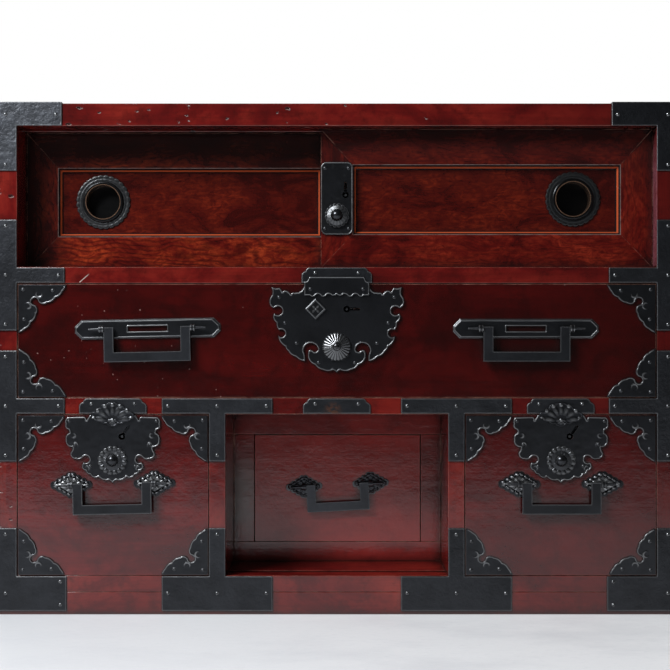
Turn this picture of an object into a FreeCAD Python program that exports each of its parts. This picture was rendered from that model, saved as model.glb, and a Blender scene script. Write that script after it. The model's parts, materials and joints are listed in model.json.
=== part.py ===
import FreeCAD, Part
import math
import os

from FreeCAD import Vector

# A small Japanese chest in lacquered wood with iron fittings. It has a pair of
# sliding doors over a long drawer, then two small drawers with a niche between
# them that holds one more drawer.
#
# All lengths are millimetres. X runs to the right, Y to the back and Z up. The
# origin is the middle of the footprint on the floor, and the drawers face -Y.

# Carcass boards
WIDTH = 730.0               # over the two side boards
DEPTH = 380.0               # from the front edges to the back boards
HEIGHT = 545.0              # from the floor to the top board
OUTER_BOARD = 24.0          # thickness of the top, bottom and sides
INNER_BOARD = 17.5          # thickness of the shelves and partitions
BACK_BOARD = 8.0            # thickness of the back boards
BACK_REBATE = 10.0          # how far the back boards lap onto the carcass
BACK_BOARD_COUNT = 3
CORNER_FINGERS = 8          # finger joint fingers along one corner
HOUSING_DEPTH = 6.0         # how far shelf and partition ends are let in
HOUSING_STOP = 15.0         # where each housing starts behind the front edge

# Compartments
DOOR_OPENING = 150.5        # clear height of the sliding doors
LONG_OPENING = 122.0        # clear height of the long drawer
NICHE_WIDTH = 237.5         # clear width between the partitions

# Recess of the niche, and the frame that its drawer is set in
NICHE_RECESS = 100.0
NICHE_FRAME_THICKNESS = 18.0
NICHE_FRAME_TOP = 26.8
NICHE_FRAME_BOTTOM = 22.2
NICHE_FRAME_STILE = 23.25
NICHE_RUNNER_WIDTH = 34.0
NICHE_GUIDE_HEIGHT = 20.0
NICHE_GROOVE_SETBACK = 22.0     # groove for a lift-out door at the niche's mouth
NICHE_GROOVE_WIDTH = 12.0
NICHE_GROOVE_DEPTH = 3.0
NICHE_GROOVE_TOP_DEPTH = 7.0

# Sliding doors
DOOR_SETBACK = 16.0         # front door's face behind the carcass's front edges
DOOR_THICKNESS = 20.0
DOOR_SPACING = 3.0          # air between the two doors
DOOR_STILE = 34.5           # flat part of an upright, and the overlap of the doors
DOOR_HEAD = 38.9            # flat part of the upper rail
DOOR_FOOT = 36.5            # flat part of the lower rail
DOOR_MOULDING = 4.3         # width of the sloping edge around the panel
DOOR_PANEL = 6.5            # thickness of the panel
DOOR_PANEL_RECESS = 6.0
DOOR_PANEL_TONGUE = 6.0     # how far the panel sits in the frame
DOOR_GAP = 0.5              # clearance at the ends, the foot and the head
DOOR_TONGUE = 11.0          # thickness of the tongues that run in the grooves
DOOR_TONGUE_GAP = 0.5
DOOR_GROOVE_BOTTOM = 3.0
DOOR_GROOVE_TOP = 8.0
DOOR_TOP_TONGUE = 4.5

# Finger pulls
FRONT_PULL_FROM_SIDE = 85.5 # centre of the front door's pull from the side board
REAR_PULL_FROM_SIDE = 83.3  # centre of the rear door's pull from the side board
PULL_FLANGE_RADIUS = 28.0
PULL_PETALS = 28
PULL_FLANGE = 1.2
PULL_RIM_RADIUS = 22.5
PULL_RIM_HEIGHT = 3.4
PULL_MOUTH_RADIUS = 18.5
PULL_CUP_RADIUS = 20.0
PULL_WALL = 1.2
PULL_DEPTH = 11.0

# Drawers
DRAWER_FRONT = 20.0
DRAWER_SIDE = 9.0
DRAWER_BOTTOM = 7.0
DRAWER_GAP = 0.8            # at both sides and above
DRAWER_FOOT_GAP = 0.4
DRAWER_BACK_GAP = 12.0      # between a drawer and the back boards
DRAWER_LAP = 12.0           # how far the sides lap into the front
DRAWER_SIDE_DROP = 6.0      # how much lower the sides stand than the front

# Iron on the carcass
IRON = 1.5                  # plate thickness
RAIL_IRON_INSET = 0.7       # plates are this much narrower than a rail's edge
CORNER_ARM = 72.0           # equal arms of the top corner plates
SIDE_PLATE_HALF = 59.0      # half the height of the plates on the side boards
SIDE_PLATE_ARM = 75.0
BASE_PLATE_ARM = 77.0
BASE_PLATE_RISE = 92.0
BASE_PLATE_LIFT = 4.0       # the base plates end this far above the floor
PARTITION_PLATE_HALF = 59.0
WING_LENGTH = 62.0          # how far the plates wrap onto the sides and the top
PLATE_CLIP = 5.0
STRIKE_PLATE_WIDTH = 72.0
LONG_STRIKE_PLATE_WIDTH = 75.0
STRIKE_SCALLOP = 4.2        # two of these shape each upper corner of a strike plate

# Nail heads
NAIL_RADIUS = 2.0
NAIL_HEIGHT = 1.3
NAIL_INSET = 6.5            # from a plate's edge

# Iron on the drawers
LOCK_IRON = 1.8             # the plates that carry the locks
LAYER_IRON = 1.5            # ornaments laid on the lock plates
LONG_CORNER_LEG = 51.0
SMALL_CORNER_LEG = 49.0
CORNER_EDGE_GAP = 0.8       # corner plates stop short of the drawer's edge
CORNER_LOCK_GAP = 1.675     # and of the lock plate on a small drawer

# Lock plates
LONG_LOCK_WIDTH = 142.8
LONG_LOCK_HEIGHT = 94.2
LONG_TAB_WIDTH = 69.0
LONG_TAB_HEIGHT = 19.5
LONG_TAB_RISE = 7.5         # above the drawer's top edge
LONG_BOSS_DROP = 67.0       # from the drawer's top edge down to the button
LONG_BOSS_RADIUS = 14.5
LONG_BOSS_HEIGHT = 7.5
LONG_KEY_OFFSET = 10.5      # keyhole to the right of the button
LONG_KEY_RISE = 40.3        # and above it
LONG_KEY_ANGLE = 0.0        # which way the keyhole's slot points, in degrees
EMBLEM_OFFSET = 22.5
EMBLEM_HALF = 11.5

SMALL_LOCK_WIDTH = 100.2
SMALL_LOCK_HEIGHT = 72.4
SMALL_CREST_WIDTH = 46.0
SMALL_CREST_HEIGHT = 25.0
SMALL_CREST_RISE = 13.0     # above the drawer's top edge
SMALL_BOSS_DROP = 48.3
SMALL_RING_RADIUS = 14.2
SMALL_RING_HEIGHT = 2.2
SMALL_KEY_OFFSET = 9.6
SMALL_KEY_RISE = 25.4
SMALL_KEY_ANGLE = 55.0

DOOR_LOCK_WIDTH = 34.0
DOOR_LOCK_HEIGHT = 78.0
DOOR_LOCK_ROUND = 6.0
DOOR_BOSS_DROP = 18.7       # from the plate's middle down to the button
DOOR_RING_RADIUS = 12.0
DOOR_KEY_OFFSET = 9.3
DOOR_KEY_RISE = 22.4
DOOR_KEY_ANGLE = 90.0

RING_PETALS = 16
KEYHOLE_RADIUS = 3.5
KEYHOLE_SLOT = 13.0
KEYHOLE_SLOT_HEIGHT = 3.2

# Lock works
BUTTON_TRAVEL = 3.5
BOLT_TRAVEL = 7.0
BUTTON_SHAFT_RADIUS = 3.0
BUTTON_SEAT_GAP = 0.4       # between a pressed button and what it closes on
BUTTON_HOLE_GAP = 0.4
SMALL_BUTTON_RADIUS = 5.9
SMALL_BUTTON_HEIGHT = 4.6
LONG_BUTTON_RADIUS = 3.3
LONG_BUTTON_HEIGHT = 1.4
LOCK_COVER = 5.0            # wood left between a lock case and the face
CASE_WALL = 1.2
CASE_HALF_WIDTH = 18.0
CASE_FOOT = 15.0            # case below the button
CASE_HEAD = 10.0            # wood left between the case and the drawer's top
KEY_PIN_RADIUS = 1.3
BOLT_WIDTH = 12.0
BOLT_THICKNESS = 3.5
BOLT_GAP = 0.4
BOLT_TOP_GAP = 0.6          # the drawn bolt sits this far below the top edge
FOOT_RISE = 5.0             # bolt foot above the button's axis
FOOT_REACH = 11.0           # and below it
DOOR_CASE_HALF_WIDTH = 13.0
DOOR_CASE_DEPTH = 13.5
DOOR_BOLT_HEIGHT = 6.0
DOOR_BOLT_RISE = 9.0        # bolt above the middle of the plate's button
DOOR_BOLT_INSET = 0.7       # drawn bolt behind the door's back face

# Handles
BAIL_THICKNESS = 4.0
BAIL_BAR = 10.2             # width of the flat bar
PIVOT_STANDOFF = 6.5        # pivot in front of the drawer's face
PIN_RADIUS = 1.8
PIN_GAP = 0.25
PIN_TIP_RADIUS = 1.0
PIN_BEYOND_EYE = 11.0
EYE_WIDTH = 4.2
EYE_RADIUS = 3.8
EYE_GAP = 0.5               # between an eye and the bail's arm
SHANK_RADIUS = 1.9
SHANK_LEG = 9.0             # leg bent over behind the drawer's front

LONG_LEFT_TILT = 1.1        # degrees, right end up: fitted by hand, not quite level
LONG_BAIL_WIDTH = 91.7
LONG_BAIL_DROP = 35.0
LONG_HANDLE_OFFSET = 201.5  # from the middle of the chest
LONG_HANDLE_DROP = 47.5     # pivot below the drawer's top edge
HANDLE_PLATE_LENGTH = 155.0
HANDLE_PLATE_HEIGHT = 20.5
HANDLE_PLATE_CLIP = 7.0
HANDLE_PLATE_IRON = 2.0
HANDLE_PLATE_BEVEL = 1.2
HANDLE_SLOT_LENGTH = 42.0
HANDLE_SLOT_HEIGHT = 5.6

SMALL_LEFT_TILT = 1.2
SMALL_BAIL_WIDTH = 83.4
SMALL_BAIL_DROP = 31.5
SMALL_HANDLE_DROP = 73.5
ROSETTE_LENGTH = 44.0
ROSETTE_HEIGHT = 25.0
ROSETTE_LOBES = 4           # along each of its four sides
ROSETTE_IRON = 1.2
ROSETTE_INNER = 0.55        # size of the upper layer against the lower
ROSETTE_BULGE = 0.7

NICHE_TILT = 3.0
NICHE_BAIL_WIDTH = 71.0
NICHE_BAIL_DROP = 29.0
NICHE_HANDLE_RISE = 3.7         # pivot above the middle of the drawer's opening
NICHE_ROSETTE_LENGTH = 41.0
NICHE_ROSETTE_HEIGHT = 24.0

# Places that follow from the sizes above
SIDE = WIDTH / 2
FRONT = -DEPTH / 2
BACK = DEPTH / 2
INNER_SIDE = SIDE - OUTER_BOARD
INNER_BACK = BACK - BACK_BOARD
TOP_UNDERSIDE = HEIGHT - OUTER_BOARD
LOWER_SHELF_TOP = OUTER_BOARD + INNER_BOARD
# Clear height of the small drawers and the niche: what the rows above leave
LOWER_OPENING = TOP_UNDERSIDE - DOOR_OPENING - LONG_OPENING - 2 * INNER_BOARD - LOWER_SHELF_TOP
MIDDLE_UNDERSIDE = LOWER_SHELF_TOP + LOWER_OPENING
MIDDLE_TOP = MIDDLE_UNDERSIDE + INNER_BOARD
UPPER_UNDERSIDE = MIDDLE_TOP + LONG_OPENING
UPPER_TOP = UPPER_UNDERSIDE + INNER_BOARD
NICHE_HALF = NICHE_WIDTH / 2
PARTITION_OUTER = NICHE_HALF + INNER_BOARD
PARTITION_MIDDLE = NICHE_HALF + INNER_BOARD / 2
NICHE_FACE = FRONT + NICHE_RECESS
NICHE_DRAWER_HALF = NICHE_HALF - NICHE_FRAME_STILE
NICHE_DRAWER_LOW = LOWER_SHELF_TOP + NICHE_FRAME_BOTTOM
NICHE_DRAWER_HIGH = MIDDLE_UNDERSIDE - NICHE_FRAME_TOP
NICHE_HANDLE_DROP = (NICHE_DRAWER_HIGH - NICHE_DRAWER_LOW) / 2 - DRAWER_GAP - NICHE_HANDLE_RISE
SMALL_MIDDLE = (PARTITION_OUTER + INNER_SIDE) / 2
# Corner plates on a small drawer reach almost to its lock plate
SMALL_CORNER_REACH = (
    (INNER_SIDE - PARTITION_OUTER) / 2
    - DRAWER_GAP
    - CORNER_EDGE_GAP
    - SMALL_LOCK_WIDTH / 2
    - CORNER_LOCK_GAP
)
FRONT_DOOR_FACE = FRONT + DOOR_SETBACK
REAR_DOOR_FACE = FRONT_DOOR_FACE + DOOR_THICKNESS + DOOR_SPACING
LAYER_FACE = LOCK_IRON + LAYER_IRON


class Drawer:
    """The opening that a drawer fills, and the drawer's own edges in it."""

    def __init__(self, x_low, x_high, z_low, z_high, face):
        self.left = x_low + DRAWER_GAP
        self.right = x_high - DRAWER_GAP
        self.low = z_low + DRAWER_FOOT_GAP
        self.high = z_high - DRAWER_GAP
        self.face = face
        self.back = INNER_BACK - DRAWER_BACK_GAP
        self.middle = (x_low + x_high) / 2


LONG_DRAWER = Drawer(-INNER_SIDE, INNER_SIDE, MIDDLE_TOP, UPPER_UNDERSIDE, FRONT)
LEFT_DRAWER = Drawer(-INNER_SIDE, -PARTITION_OUTER, LOWER_SHELF_TOP, MIDDLE_UNDERSIDE, FRONT)
RIGHT_DRAWER = Drawer(PARTITION_OUTER, INNER_SIDE, LOWER_SHELF_TOP, MIDDLE_UNDERSIDE, FRONT)
NICHE_DRAWER = Drawer(
    -NICHE_DRAWER_HALF, NICHE_DRAWER_HALF, NICHE_DRAWER_LOW, NICHE_DRAWER_HIGH, NICHE_FACE
)


# Shape helpers

def box(x, y, z):
    """Block between the low and high value of each axis."""
    size = (x[1] - x[0], y[1] - y[0], z[1] - z[0])
    return Part.makeBox(*size, Vector(x[0], y[0], z[0]))


def rod(x, z, y_from, y_to, radius):
    """Round bar along Y."""
    return Part.makeCylinder(radius, y_to - y_from, Vector(x, y_from, z), Vector(0, 1, 0))


def cross_rod(y, z, x_from, x_to, radius, end_radius=None):
    """Round bar along X, tapered if its far end has a radius of its own."""
    start = Vector(x_from, y, z)
    along = Vector(math.copysign(1, x_to - x_from), 0, 0)
    length = abs(x_to - x_from)
    if end_radius is None:
        return Part.makeCylinder(radius, length, start, along)
    return Part.makeCone(radius, end_radius, length, start, along)


def outline(points, y):
    """Closed wire at depth y. Each point is (x, z, bulge), listed anticlockwise.

    A bulge bends the side after its point into an arc that stands out by that
    share of half the side; a negative one bends it in.
    """
    edges = []
    for (x_0, z_0, bulge), (x_1, z_1, _) in zip(points, points[1:] + points[:1]):
        start = Vector(x_0, y, z_0)
        end = Vector(x_1, y, z_1)
        if bulge:
            half = (end - start) * 0.5
            crest = start + half + Vector(half.z, 0, -half.x) * bulge
            edges.append(Part.Arc(start, crest, end).toShape())
        else:
            edges.append(Part.makeLine(start, end))
    return Part.Wire(edges)


def plate(points, y_back, thickness):
    """Flat plate of the given outline, standing forward from y_back."""
    face = Part.Face(outline(points, y_back))
    return face.extrude(Vector(0, -thickness, 0))


def profile_bar(points, x_from, x_to):
    """Bar along X whose section is a list of (y, z) corners."""
    corners = [Vector(x_from, y, z) for y, z in points]
    face = Part.Face(Part.makePolygon(corners + corners[:1]))
    return face.extrude(Vector(x_to - x_from, 0, 0))


def both_halves(half):
    """Full outline from its left half, listed from the top to the tip on the centre line."""
    right = []
    for (x, z, _), (_, _, bulge) in zip(half[:0:-1], half[-2::-1]):
        right.append((-x, z, bulge))
    top_x, top_z, _ = half[0]
    if top_x:
        right.append((-top_x, top_z, 0))
    return half[:-1] + right


def placed(points, x, z, width, height):
    """Outline points given as shares of half the width and of the height, at their place."""
    return [(x + u * width / 2, z + v * height, bulge) for u, v, bulge in points]


def scalloped(corners, lobes, bulge):
    """Outline along straight corners with rounded lobes on every side."""
    points = []
    for (x_0, z_0), (x_1, z_1) in zip(corners, corners[1:] + corners[:1]):
        for step in range(lobes):
            share = step / lobes
            points.append((x_0 + (x_1 - x_0) * share, z_0 + (z_1 - z_0) * share, bulge))
    return points


def petals(x, z, radius, count, bulge):
    """Round outline with petals around its edge."""
    points = []
    for step in range(count):
        angle = 2 * math.pi * step / count
        points.append((x + radius * math.cos(angle), z + radius * math.sin(angle), bulge))
    return points


def rectangle(x, z, clip=0.0):
    """Rectangular outline between low and high values, with clipped corners if asked."""
    if not clip:
        return [(x[0], z[0], 0), (x[1], z[0], 0), (x[1], z[1], 0), (x[0], z[1], 0)]
    return [
        (x[0] + clip, z[0], 0),
        (x[1] - clip, z[0], 0),
        (x[1], z[0] + clip, 0),
        (x[1], z[1] - clip, 0),
        (x[1] - clip, z[1], 0),
        (x[0] + clip, z[1], 0),
        (x[0], z[1] - clip, 0),
        (x[0], z[0] + clip, 0),
    ]


def dome(x, z, y_back, radius, height):
    """Cap of a ball that stands forward from y_back."""
    ball = (radius ** 2 + height ** 2) / (2 * height)
    start = math.degrees(math.asin((ball - height) / ball))
    centre = Vector(x, y_back + ball - height, z)
    return Part.makeSphere(ball, centre, Vector(0, -1, 0), start, 90, 360)


def nails(places, y_back):
    return [dome(x, z, y_back, NAIL_RADIUS, NAIL_HEIGHT) for x, z in places]


def mirrored(shapes):
    """The same shapes on the other side of the chest."""
    return [shape.mirror(Vector(0, 0, 0), Vector(1, 0, 0)) for shape in shapes]


def both_sides(shapes):
    return shapes + mirrored(shapes)


def save(name, *shapes):
    shape = shapes[0] if len(shapes) == 1 else Part.makeCompound(list(shapes))
    shape.exportStep("parts/" + name + ".step")


# Carcass

def fingers(z_low, first):
    """Every second block of the finger joints at one board's two ends."""
    pitch = DEPTH / CORNER_FINGERS
    blocks = []
    for step in range(first, CORNER_FINGERS, 2):
        y = (FRONT + step * pitch, FRONT + (step + 1) * pitch)
        blocks.append(box((INNER_SIDE, SIDE), y, (z_low, z_low + OUTER_BOARD)))
    return both_sides(blocks)


def back_rebate():
    """Room for the back boards, as a cutting block."""
    x = INNER_SIDE + BACK_REBATE
    z = (OUTER_BOARD - BACK_REBATE, TOP_UNDERSIDE + BACK_REBATE)
    return box((-x, x), (INNER_BACK, BACK), z)


def door_tongue_span(face):
    """Y range of the tongue of the door whose face is given."""
    start = face + (DOOR_THICKNESS - DOOR_TONGUE) / 2
    return start, start + DOOR_TONGUE


def door_grooves(z_low, z_high):
    grooves = []
    for face in (FRONT_DOOR_FACE, REAR_DOOR_FACE):
        y_low, y_high = door_tongue_span(face)
        y = (y_low - DOOR_TONGUE_GAP, y_high + DOOR_TONGUE_GAP)
        grooves.append(box((-INNER_SIDE, INNER_SIDE), y, (z_low, z_high)))
    return grooves


def top_board():
    board = box((-INNER_SIDE, INNER_SIDE), (FRONT, BACK), (TOP_UNDERSIDE, HEIGHT))
    board = board.fuse(fingers(TOP_UNDERSIDE, 0)).removeSplitter()
    grooves = door_grooves(TOP_UNDERSIDE, TOP_UNDERSIDE + DOOR_GROOVE_TOP)
    return board.cut([back_rebate()] + grooves)


def bottom_board():
    board = box((-INNER_SIDE, INNER_SIDE), (FRONT, BACK), (0, OUTER_BOARD))
    board = board.fuse(fingers(0, 0)).removeSplitter()
    return board.cut(back_rebate())


def shelf_spans():
    """Underside and top of each shelf."""
    return (
        (OUTER_BOARD, LOWER_SHELF_TOP),
        (MIDDLE_UNDERSIDE, MIDDLE_TOP),
        (UPPER_UNDERSIDE, UPPER_TOP),
    )


def side_boards():
    board = box((INNER_SIDE, SIDE), (FRONT, BACK), (OUTER_BOARD, TOP_UNDERSIDE))
    corners = fingers(0, 1) + fingers(TOP_UNDERSIDE, 1)
    right_corners = [corner for corner in corners if corner.BoundBox.XMin > 0]
    board = board.fuse(right_corners).removeSplitter()
    housings = []
    for span in shelf_spans():
        x = (INNER_SIDE, INNER_SIDE + HOUSING_DEPTH)
        housings.append(box(x, (FRONT + HOUSING_STOP, INNER_BACK), span))
    board = board.cut(housings + [back_rebate()])
    return mirrored([board])[0], board


def shelf(z):
    """Shelf with its two ends let into the side boards."""
    reach = INNER_SIDE + HOUSING_DEPTH
    board = box((-INNER_SIDE, INNER_SIDE), (FRONT, INNER_BACK), z)
    tongues = box((-reach, reach), (FRONT + HOUSING_STOP, INNER_BACK), z)
    return board.fuse(tongues).removeSplitter()


def bolt_mortise(drawer, z_low):
    """Room in a shelf for the bolt of the drawer below it."""
    half = BOLT_WIDTH / 2 + BOLT_GAP
    y_low, y_high = bolt_span(drawer.face)
    y = (y_low - BOLT_GAP, y_high + BOLT_GAP)
    z = (z_low, z_low + BOLT_TRAVEL + BOLT_GAP)
    return box((drawer.middle - half, drawer.middle + half), y, z)


def niche_grooves():
    """Grooves above and below the mouth of the niche for a lift-out door."""
    x = (-NICHE_HALF, NICHE_HALF)
    y_low = FRONT + NICHE_GROOVE_SETBACK
    y = (y_low, y_low + NICHE_GROOVE_WIDTH)
    below = box(x, y, (LOWER_SHELF_TOP - NICHE_GROOVE_DEPTH, LOWER_SHELF_TOP))
    above = box(x, y, (MIDDLE_UNDERSIDE, MIDDLE_UNDERSIDE + NICHE_GROOVE_TOP_DEPTH))
    return below, above


def partition_housings(z):
    """Housings for the ends of both partitions."""
    y = (FRONT + HOUSING_STOP, INNER_BACK)
    return both_sides([box((NICHE_HALF, PARTITION_OUTER), y, z)])


def lower_shelf():
    cuts = partition_housings((LOWER_SHELF_TOP - HOUSING_DEPTH, LOWER_SHELF_TOP))
    return shelf((OUTER_BOARD, LOWER_SHELF_TOP)).cut(cuts + [niche_grooves()[0]])


def middle_shelf():
    cuts = partition_housings((MIDDLE_UNDERSIDE, MIDDLE_UNDERSIDE + HOUSING_DEPTH))
    cuts.append(niche_grooves()[1])
    cuts.append(bolt_mortise(LEFT_DRAWER, MIDDLE_UNDERSIDE))
    cuts.append(bolt_mortise(RIGHT_DRAWER, MIDDLE_UNDERSIDE))
    return shelf((MIDDLE_UNDERSIDE, MIDDLE_TOP)).cut(cuts)


def upper_shelf():
    grooves = door_grooves(UPPER_TOP - DOOR_GROOVE_BOTTOM, UPPER_TOP)
    cuts = grooves + [bolt_mortise(LONG_DRAWER, UPPER_UNDERSIDE)]
    return shelf((UPPER_UNDERSIDE, UPPER_TOP)).cut(cuts)


def partitions():
    """Upright boards on both sides of the niche, let into the shelves."""
    x = (NICHE_HALF, PARTITION_OUTER)
    board = box(x, (FRONT, INNER_BACK), (LOWER_SHELF_TOP, MIDDLE_UNDERSIDE))
    z = (LOWER_SHELF_TOP - HOUSING_DEPTH, MIDDLE_UNDERSIDE + HOUSING_DEPTH)
    tongues = box(x, (FRONT + HOUSING_STOP, INNER_BACK), z)
    board = board.fuse(tongues).removeSplitter()
    return mirrored([board])[0], board


def back_boards():
    """Upright boards in the rebate at the back."""
    x = INNER_SIDE + BACK_REBATE
    z = (OUTER_BOARD - BACK_REBATE, TOP_UNDERSIDE + BACK_REBATE)
    pitch = 2 * x / BACK_BOARD_COUNT
    boards = []
    for step in range(BACK_BOARD_COUNT):
        x_low = -x + step * pitch
        boards.append(box((x_low, x_low + pitch), (INNER_BACK, BACK), z))
    return boards


def niche_frame():
    """Two rails and two uprights that frame the drawer inside the niche."""
    y = (NICHE_FACE, NICHE_FACE + NICHE_FRAME_THICKNESS)
    across = (-NICHE_HALF, NICHE_HALF)
    top = box(across, y, (NICHE_DRAWER_HIGH, MIDDLE_UNDERSIDE))
    bottom = box(across, y, (LOWER_SHELF_TOP, NICHE_DRAWER_LOW))
    upright = box((NICHE_DRAWER_HALF, NICHE_HALF), y, (NICHE_DRAWER_LOW, NICHE_DRAWER_HIGH))
    return [top, bottom] + both_sides([upright])


def niche_runners():
    """Runners under the niche's drawer, each with a guide beside the drawer."""
    y = (NICHE_FACE + NICHE_FRAME_THICKNESS, INNER_BACK)
    x = (NICHE_HALF - NICHE_RUNNER_WIDTH, NICHE_HALF)
    runner = box(x, y, (LOWER_SHELF_TOP, NICHE_DRAWER_LOW))
    guide_top = NICHE_DRAWER_LOW + NICHE_GUIDE_HEIGHT
    guide = box((NICHE_DRAWER_HALF, NICHE_HALF), y, (NICHE_DRAWER_LOW, guide_top))
    return both_sides([runner, guide])


# Iron plates on the carcass

def front_plate(points):
    return plate(points, FRONT, IRON)


def side_wing(z, clip=PLATE_CLIP):
    """The part of a plate that wraps onto the right side board."""
    corners = [
        Vector(SIDE, FRONT - IRON, z[0]),
        Vector(SIDE, FRONT + WING_LENGTH - clip, z[0]),
        Vector(SIDE, FRONT + WING_LENGTH, z[0] + clip),
        Vector(SIDE, FRONT + WING_LENGTH, z[1] - clip),
        Vector(SIDE, FRONT + WING_LENGTH - clip, z[1]),
        Vector(SIDE, FRONT - IRON, z[1]),
    ]
    return Part.Face(Part.makePolygon(corners + corners[:1])).extrude(Vector(IRON, 0, 0))


def top_corner_plates():
    """L-shaped plates that wrap over the top and round the sides."""
    arm_end = SIDE - CORNER_ARM
    leg_end = HEIGHT - CORNER_ARM
    front = front_plate([
        (arm_end, TOP_UNDERSIDE, 0),
        (INNER_SIDE, TOP_UNDERSIDE, 0),
        (INNER_SIDE, leg_end, 0),
        (SIDE, leg_end, 0),
        (SIDE, HEIGHT, 0),
        (arm_end, HEIGHT, 0),
    ])
    wing = side_wing((leg_end, HEIGHT))
    top = box((arm_end, SIDE + IRON), (FRONT - IRON, FRONT + WING_LENGTH), (HEIGHT, HEIGHT + IRON))
    return both_sides([front.fuse([wing, top]).removeSplitter()])


def side_plates():
    """T-shaped plates where the upper and middle shelves meet the side boards."""
    shapes = []
    for low, high in shelf_spans()[1:]:
        middle = (low + high) / 2
        arm_end = SIDE - SIDE_PLATE_ARM
        bottom = middle - SIDE_PLATE_HALF
        top = middle + SIDE_PLATE_HALF
        front = front_plate([
            (arm_end, low + RAIL_IRON_INSET, 0),
            (INNER_SIDE, low + RAIL_IRON_INSET, 0),
            (INNER_SIDE, bottom, 0),
            (SIDE, bottom, 0),
            (SIDE, top, 0),
            (INNER_SIDE, top, 0),
            (INNER_SIDE, high - RAIL_IRON_INSET, 0),
            (arm_end, high - RAIL_IRON_INSET, 0),
        ])
        shapes.append(front.fuse(side_wing((bottom, top))).removeSplitter())
    return both_sides(shapes)


def base_corner_plates():
    """L-shaped plates at the foot of both side boards."""
    arm_end = SIDE - BASE_PLATE_ARM
    front = front_plate([
        (arm_end, BASE_PLATE_LIFT, 0),
        (SIDE, BASE_PLATE_LIFT, 0),
        (SIDE, BASE_PLATE_RISE, 0),
        (INNER_SIDE, BASE_PLATE_RISE, 0),
        (INNER_SIDE, LOWER_SHELF_TOP - RAIL_IRON_INSET, 0),
        (arm_end, LOWER_SHELF_TOP - RAIL_IRON_INSET, 0),
    ])
    wing = side_wing((BASE_PLATE_LIFT, BASE_PLATE_RISE))
    return both_sides([front.fuse(wing).removeSplitter()])


def partition_plates():
    """T-shaped plates at the head and the foot of both partitions."""
    arm_low = PARTITION_MIDDLE - PARTITION_PLATE_HALF
    arm_high = PARTITION_MIDDLE + PARTITION_PLATE_HALF
    leg_end = (MIDDLE_UNDERSIDE + MIDDLE_TOP) / 2 - SIDE_PLATE_HALF
    head = front_plate([
        (NICHE_HALF, leg_end, 0),
        (PARTITION_OUTER, leg_end, 0),
        (PARTITION_OUTER, MIDDLE_UNDERSIDE + RAIL_IRON_INSET, 0),
        (arm_high, MIDDLE_UNDERSIDE + RAIL_IRON_INSET, 0),
        (arm_high, MIDDLE_TOP - RAIL_IRON_INSET, 0),
        (arm_low, MIDDLE_TOP - RAIL_IRON_INSET, 0),
        (arm_low, MIDDLE_UNDERSIDE + RAIL_IRON_INSET, 0),
        (NICHE_HALF, MIDDLE_UNDERSIDE + RAIL_IRON_INSET, 0),
    ])
    foot = front_plate([
        (arm_low, BASE_PLATE_LIFT, 0),
        (arm_high, BASE_PLATE_LIFT, 0),
        (arm_high, LOWER_SHELF_TOP - RAIL_IRON_INSET, 0),
        (PARTITION_OUTER, LOWER_SHELF_TOP - RAIL_IRON_INSET, 0),
        (PARTITION_OUTER, BASE_PLATE_RISE, 0),
        (NICHE_HALF, BASE_PLATE_RISE, 0),
        (NICHE_HALF, LOWER_SHELF_TOP - RAIL_IRON_INSET, 0),
        (arm_low, LOWER_SHELF_TOP - RAIL_IRON_INSET, 0),
    ])
    return both_sides([head, foot])


def strike_outline(x, z):
    """Plate outline with a pair of scallops in each upper corner."""
    step = STRIKE_SCALLOP
    return [
        (x[0], z[0], 0),
        (x[1], z[0], 0),
        (x[1], z[1] - 2 * step, 0.35),
        (x[1] - step, z[1] - step, 0.35),
        (x[1] - 2 * step, z[1], 0),
        (x[0] + 2 * step, z[1], 0.35),
        (x[0] + step, z[1] - step, 0.35),
        (x[0], z[1] - 2 * step, 0),
    ]


def strike_plates():
    """Plates on the rails above each lock and above the niche."""
    shapes = []
    middle_rail = (MIDDLE_UNDERSIDE + RAIL_IRON_INSET, MIDDLE_TOP - RAIL_IRON_INSET)
    upper_rail = (UPPER_UNDERSIDE + RAIL_IRON_INSET, UPPER_TOP - RAIL_IRON_INSET)
    places = [
        (-SMALL_MIDDLE, STRIKE_PLATE_WIDTH, middle_rail),
        (SMALL_MIDDLE, STRIKE_PLATE_WIDTH, middle_rail),
        (0.0, STRIKE_PLATE_WIDTH, middle_rail),
        (0.0, LONG_STRIKE_PLATE_WIDTH, upper_rail),
    ]
    for middle, width, z in places:
        x = (middle - width / 2, middle + width / 2)
        shapes.append(front_plate(strike_outline(x, z)))
    return shapes


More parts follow.
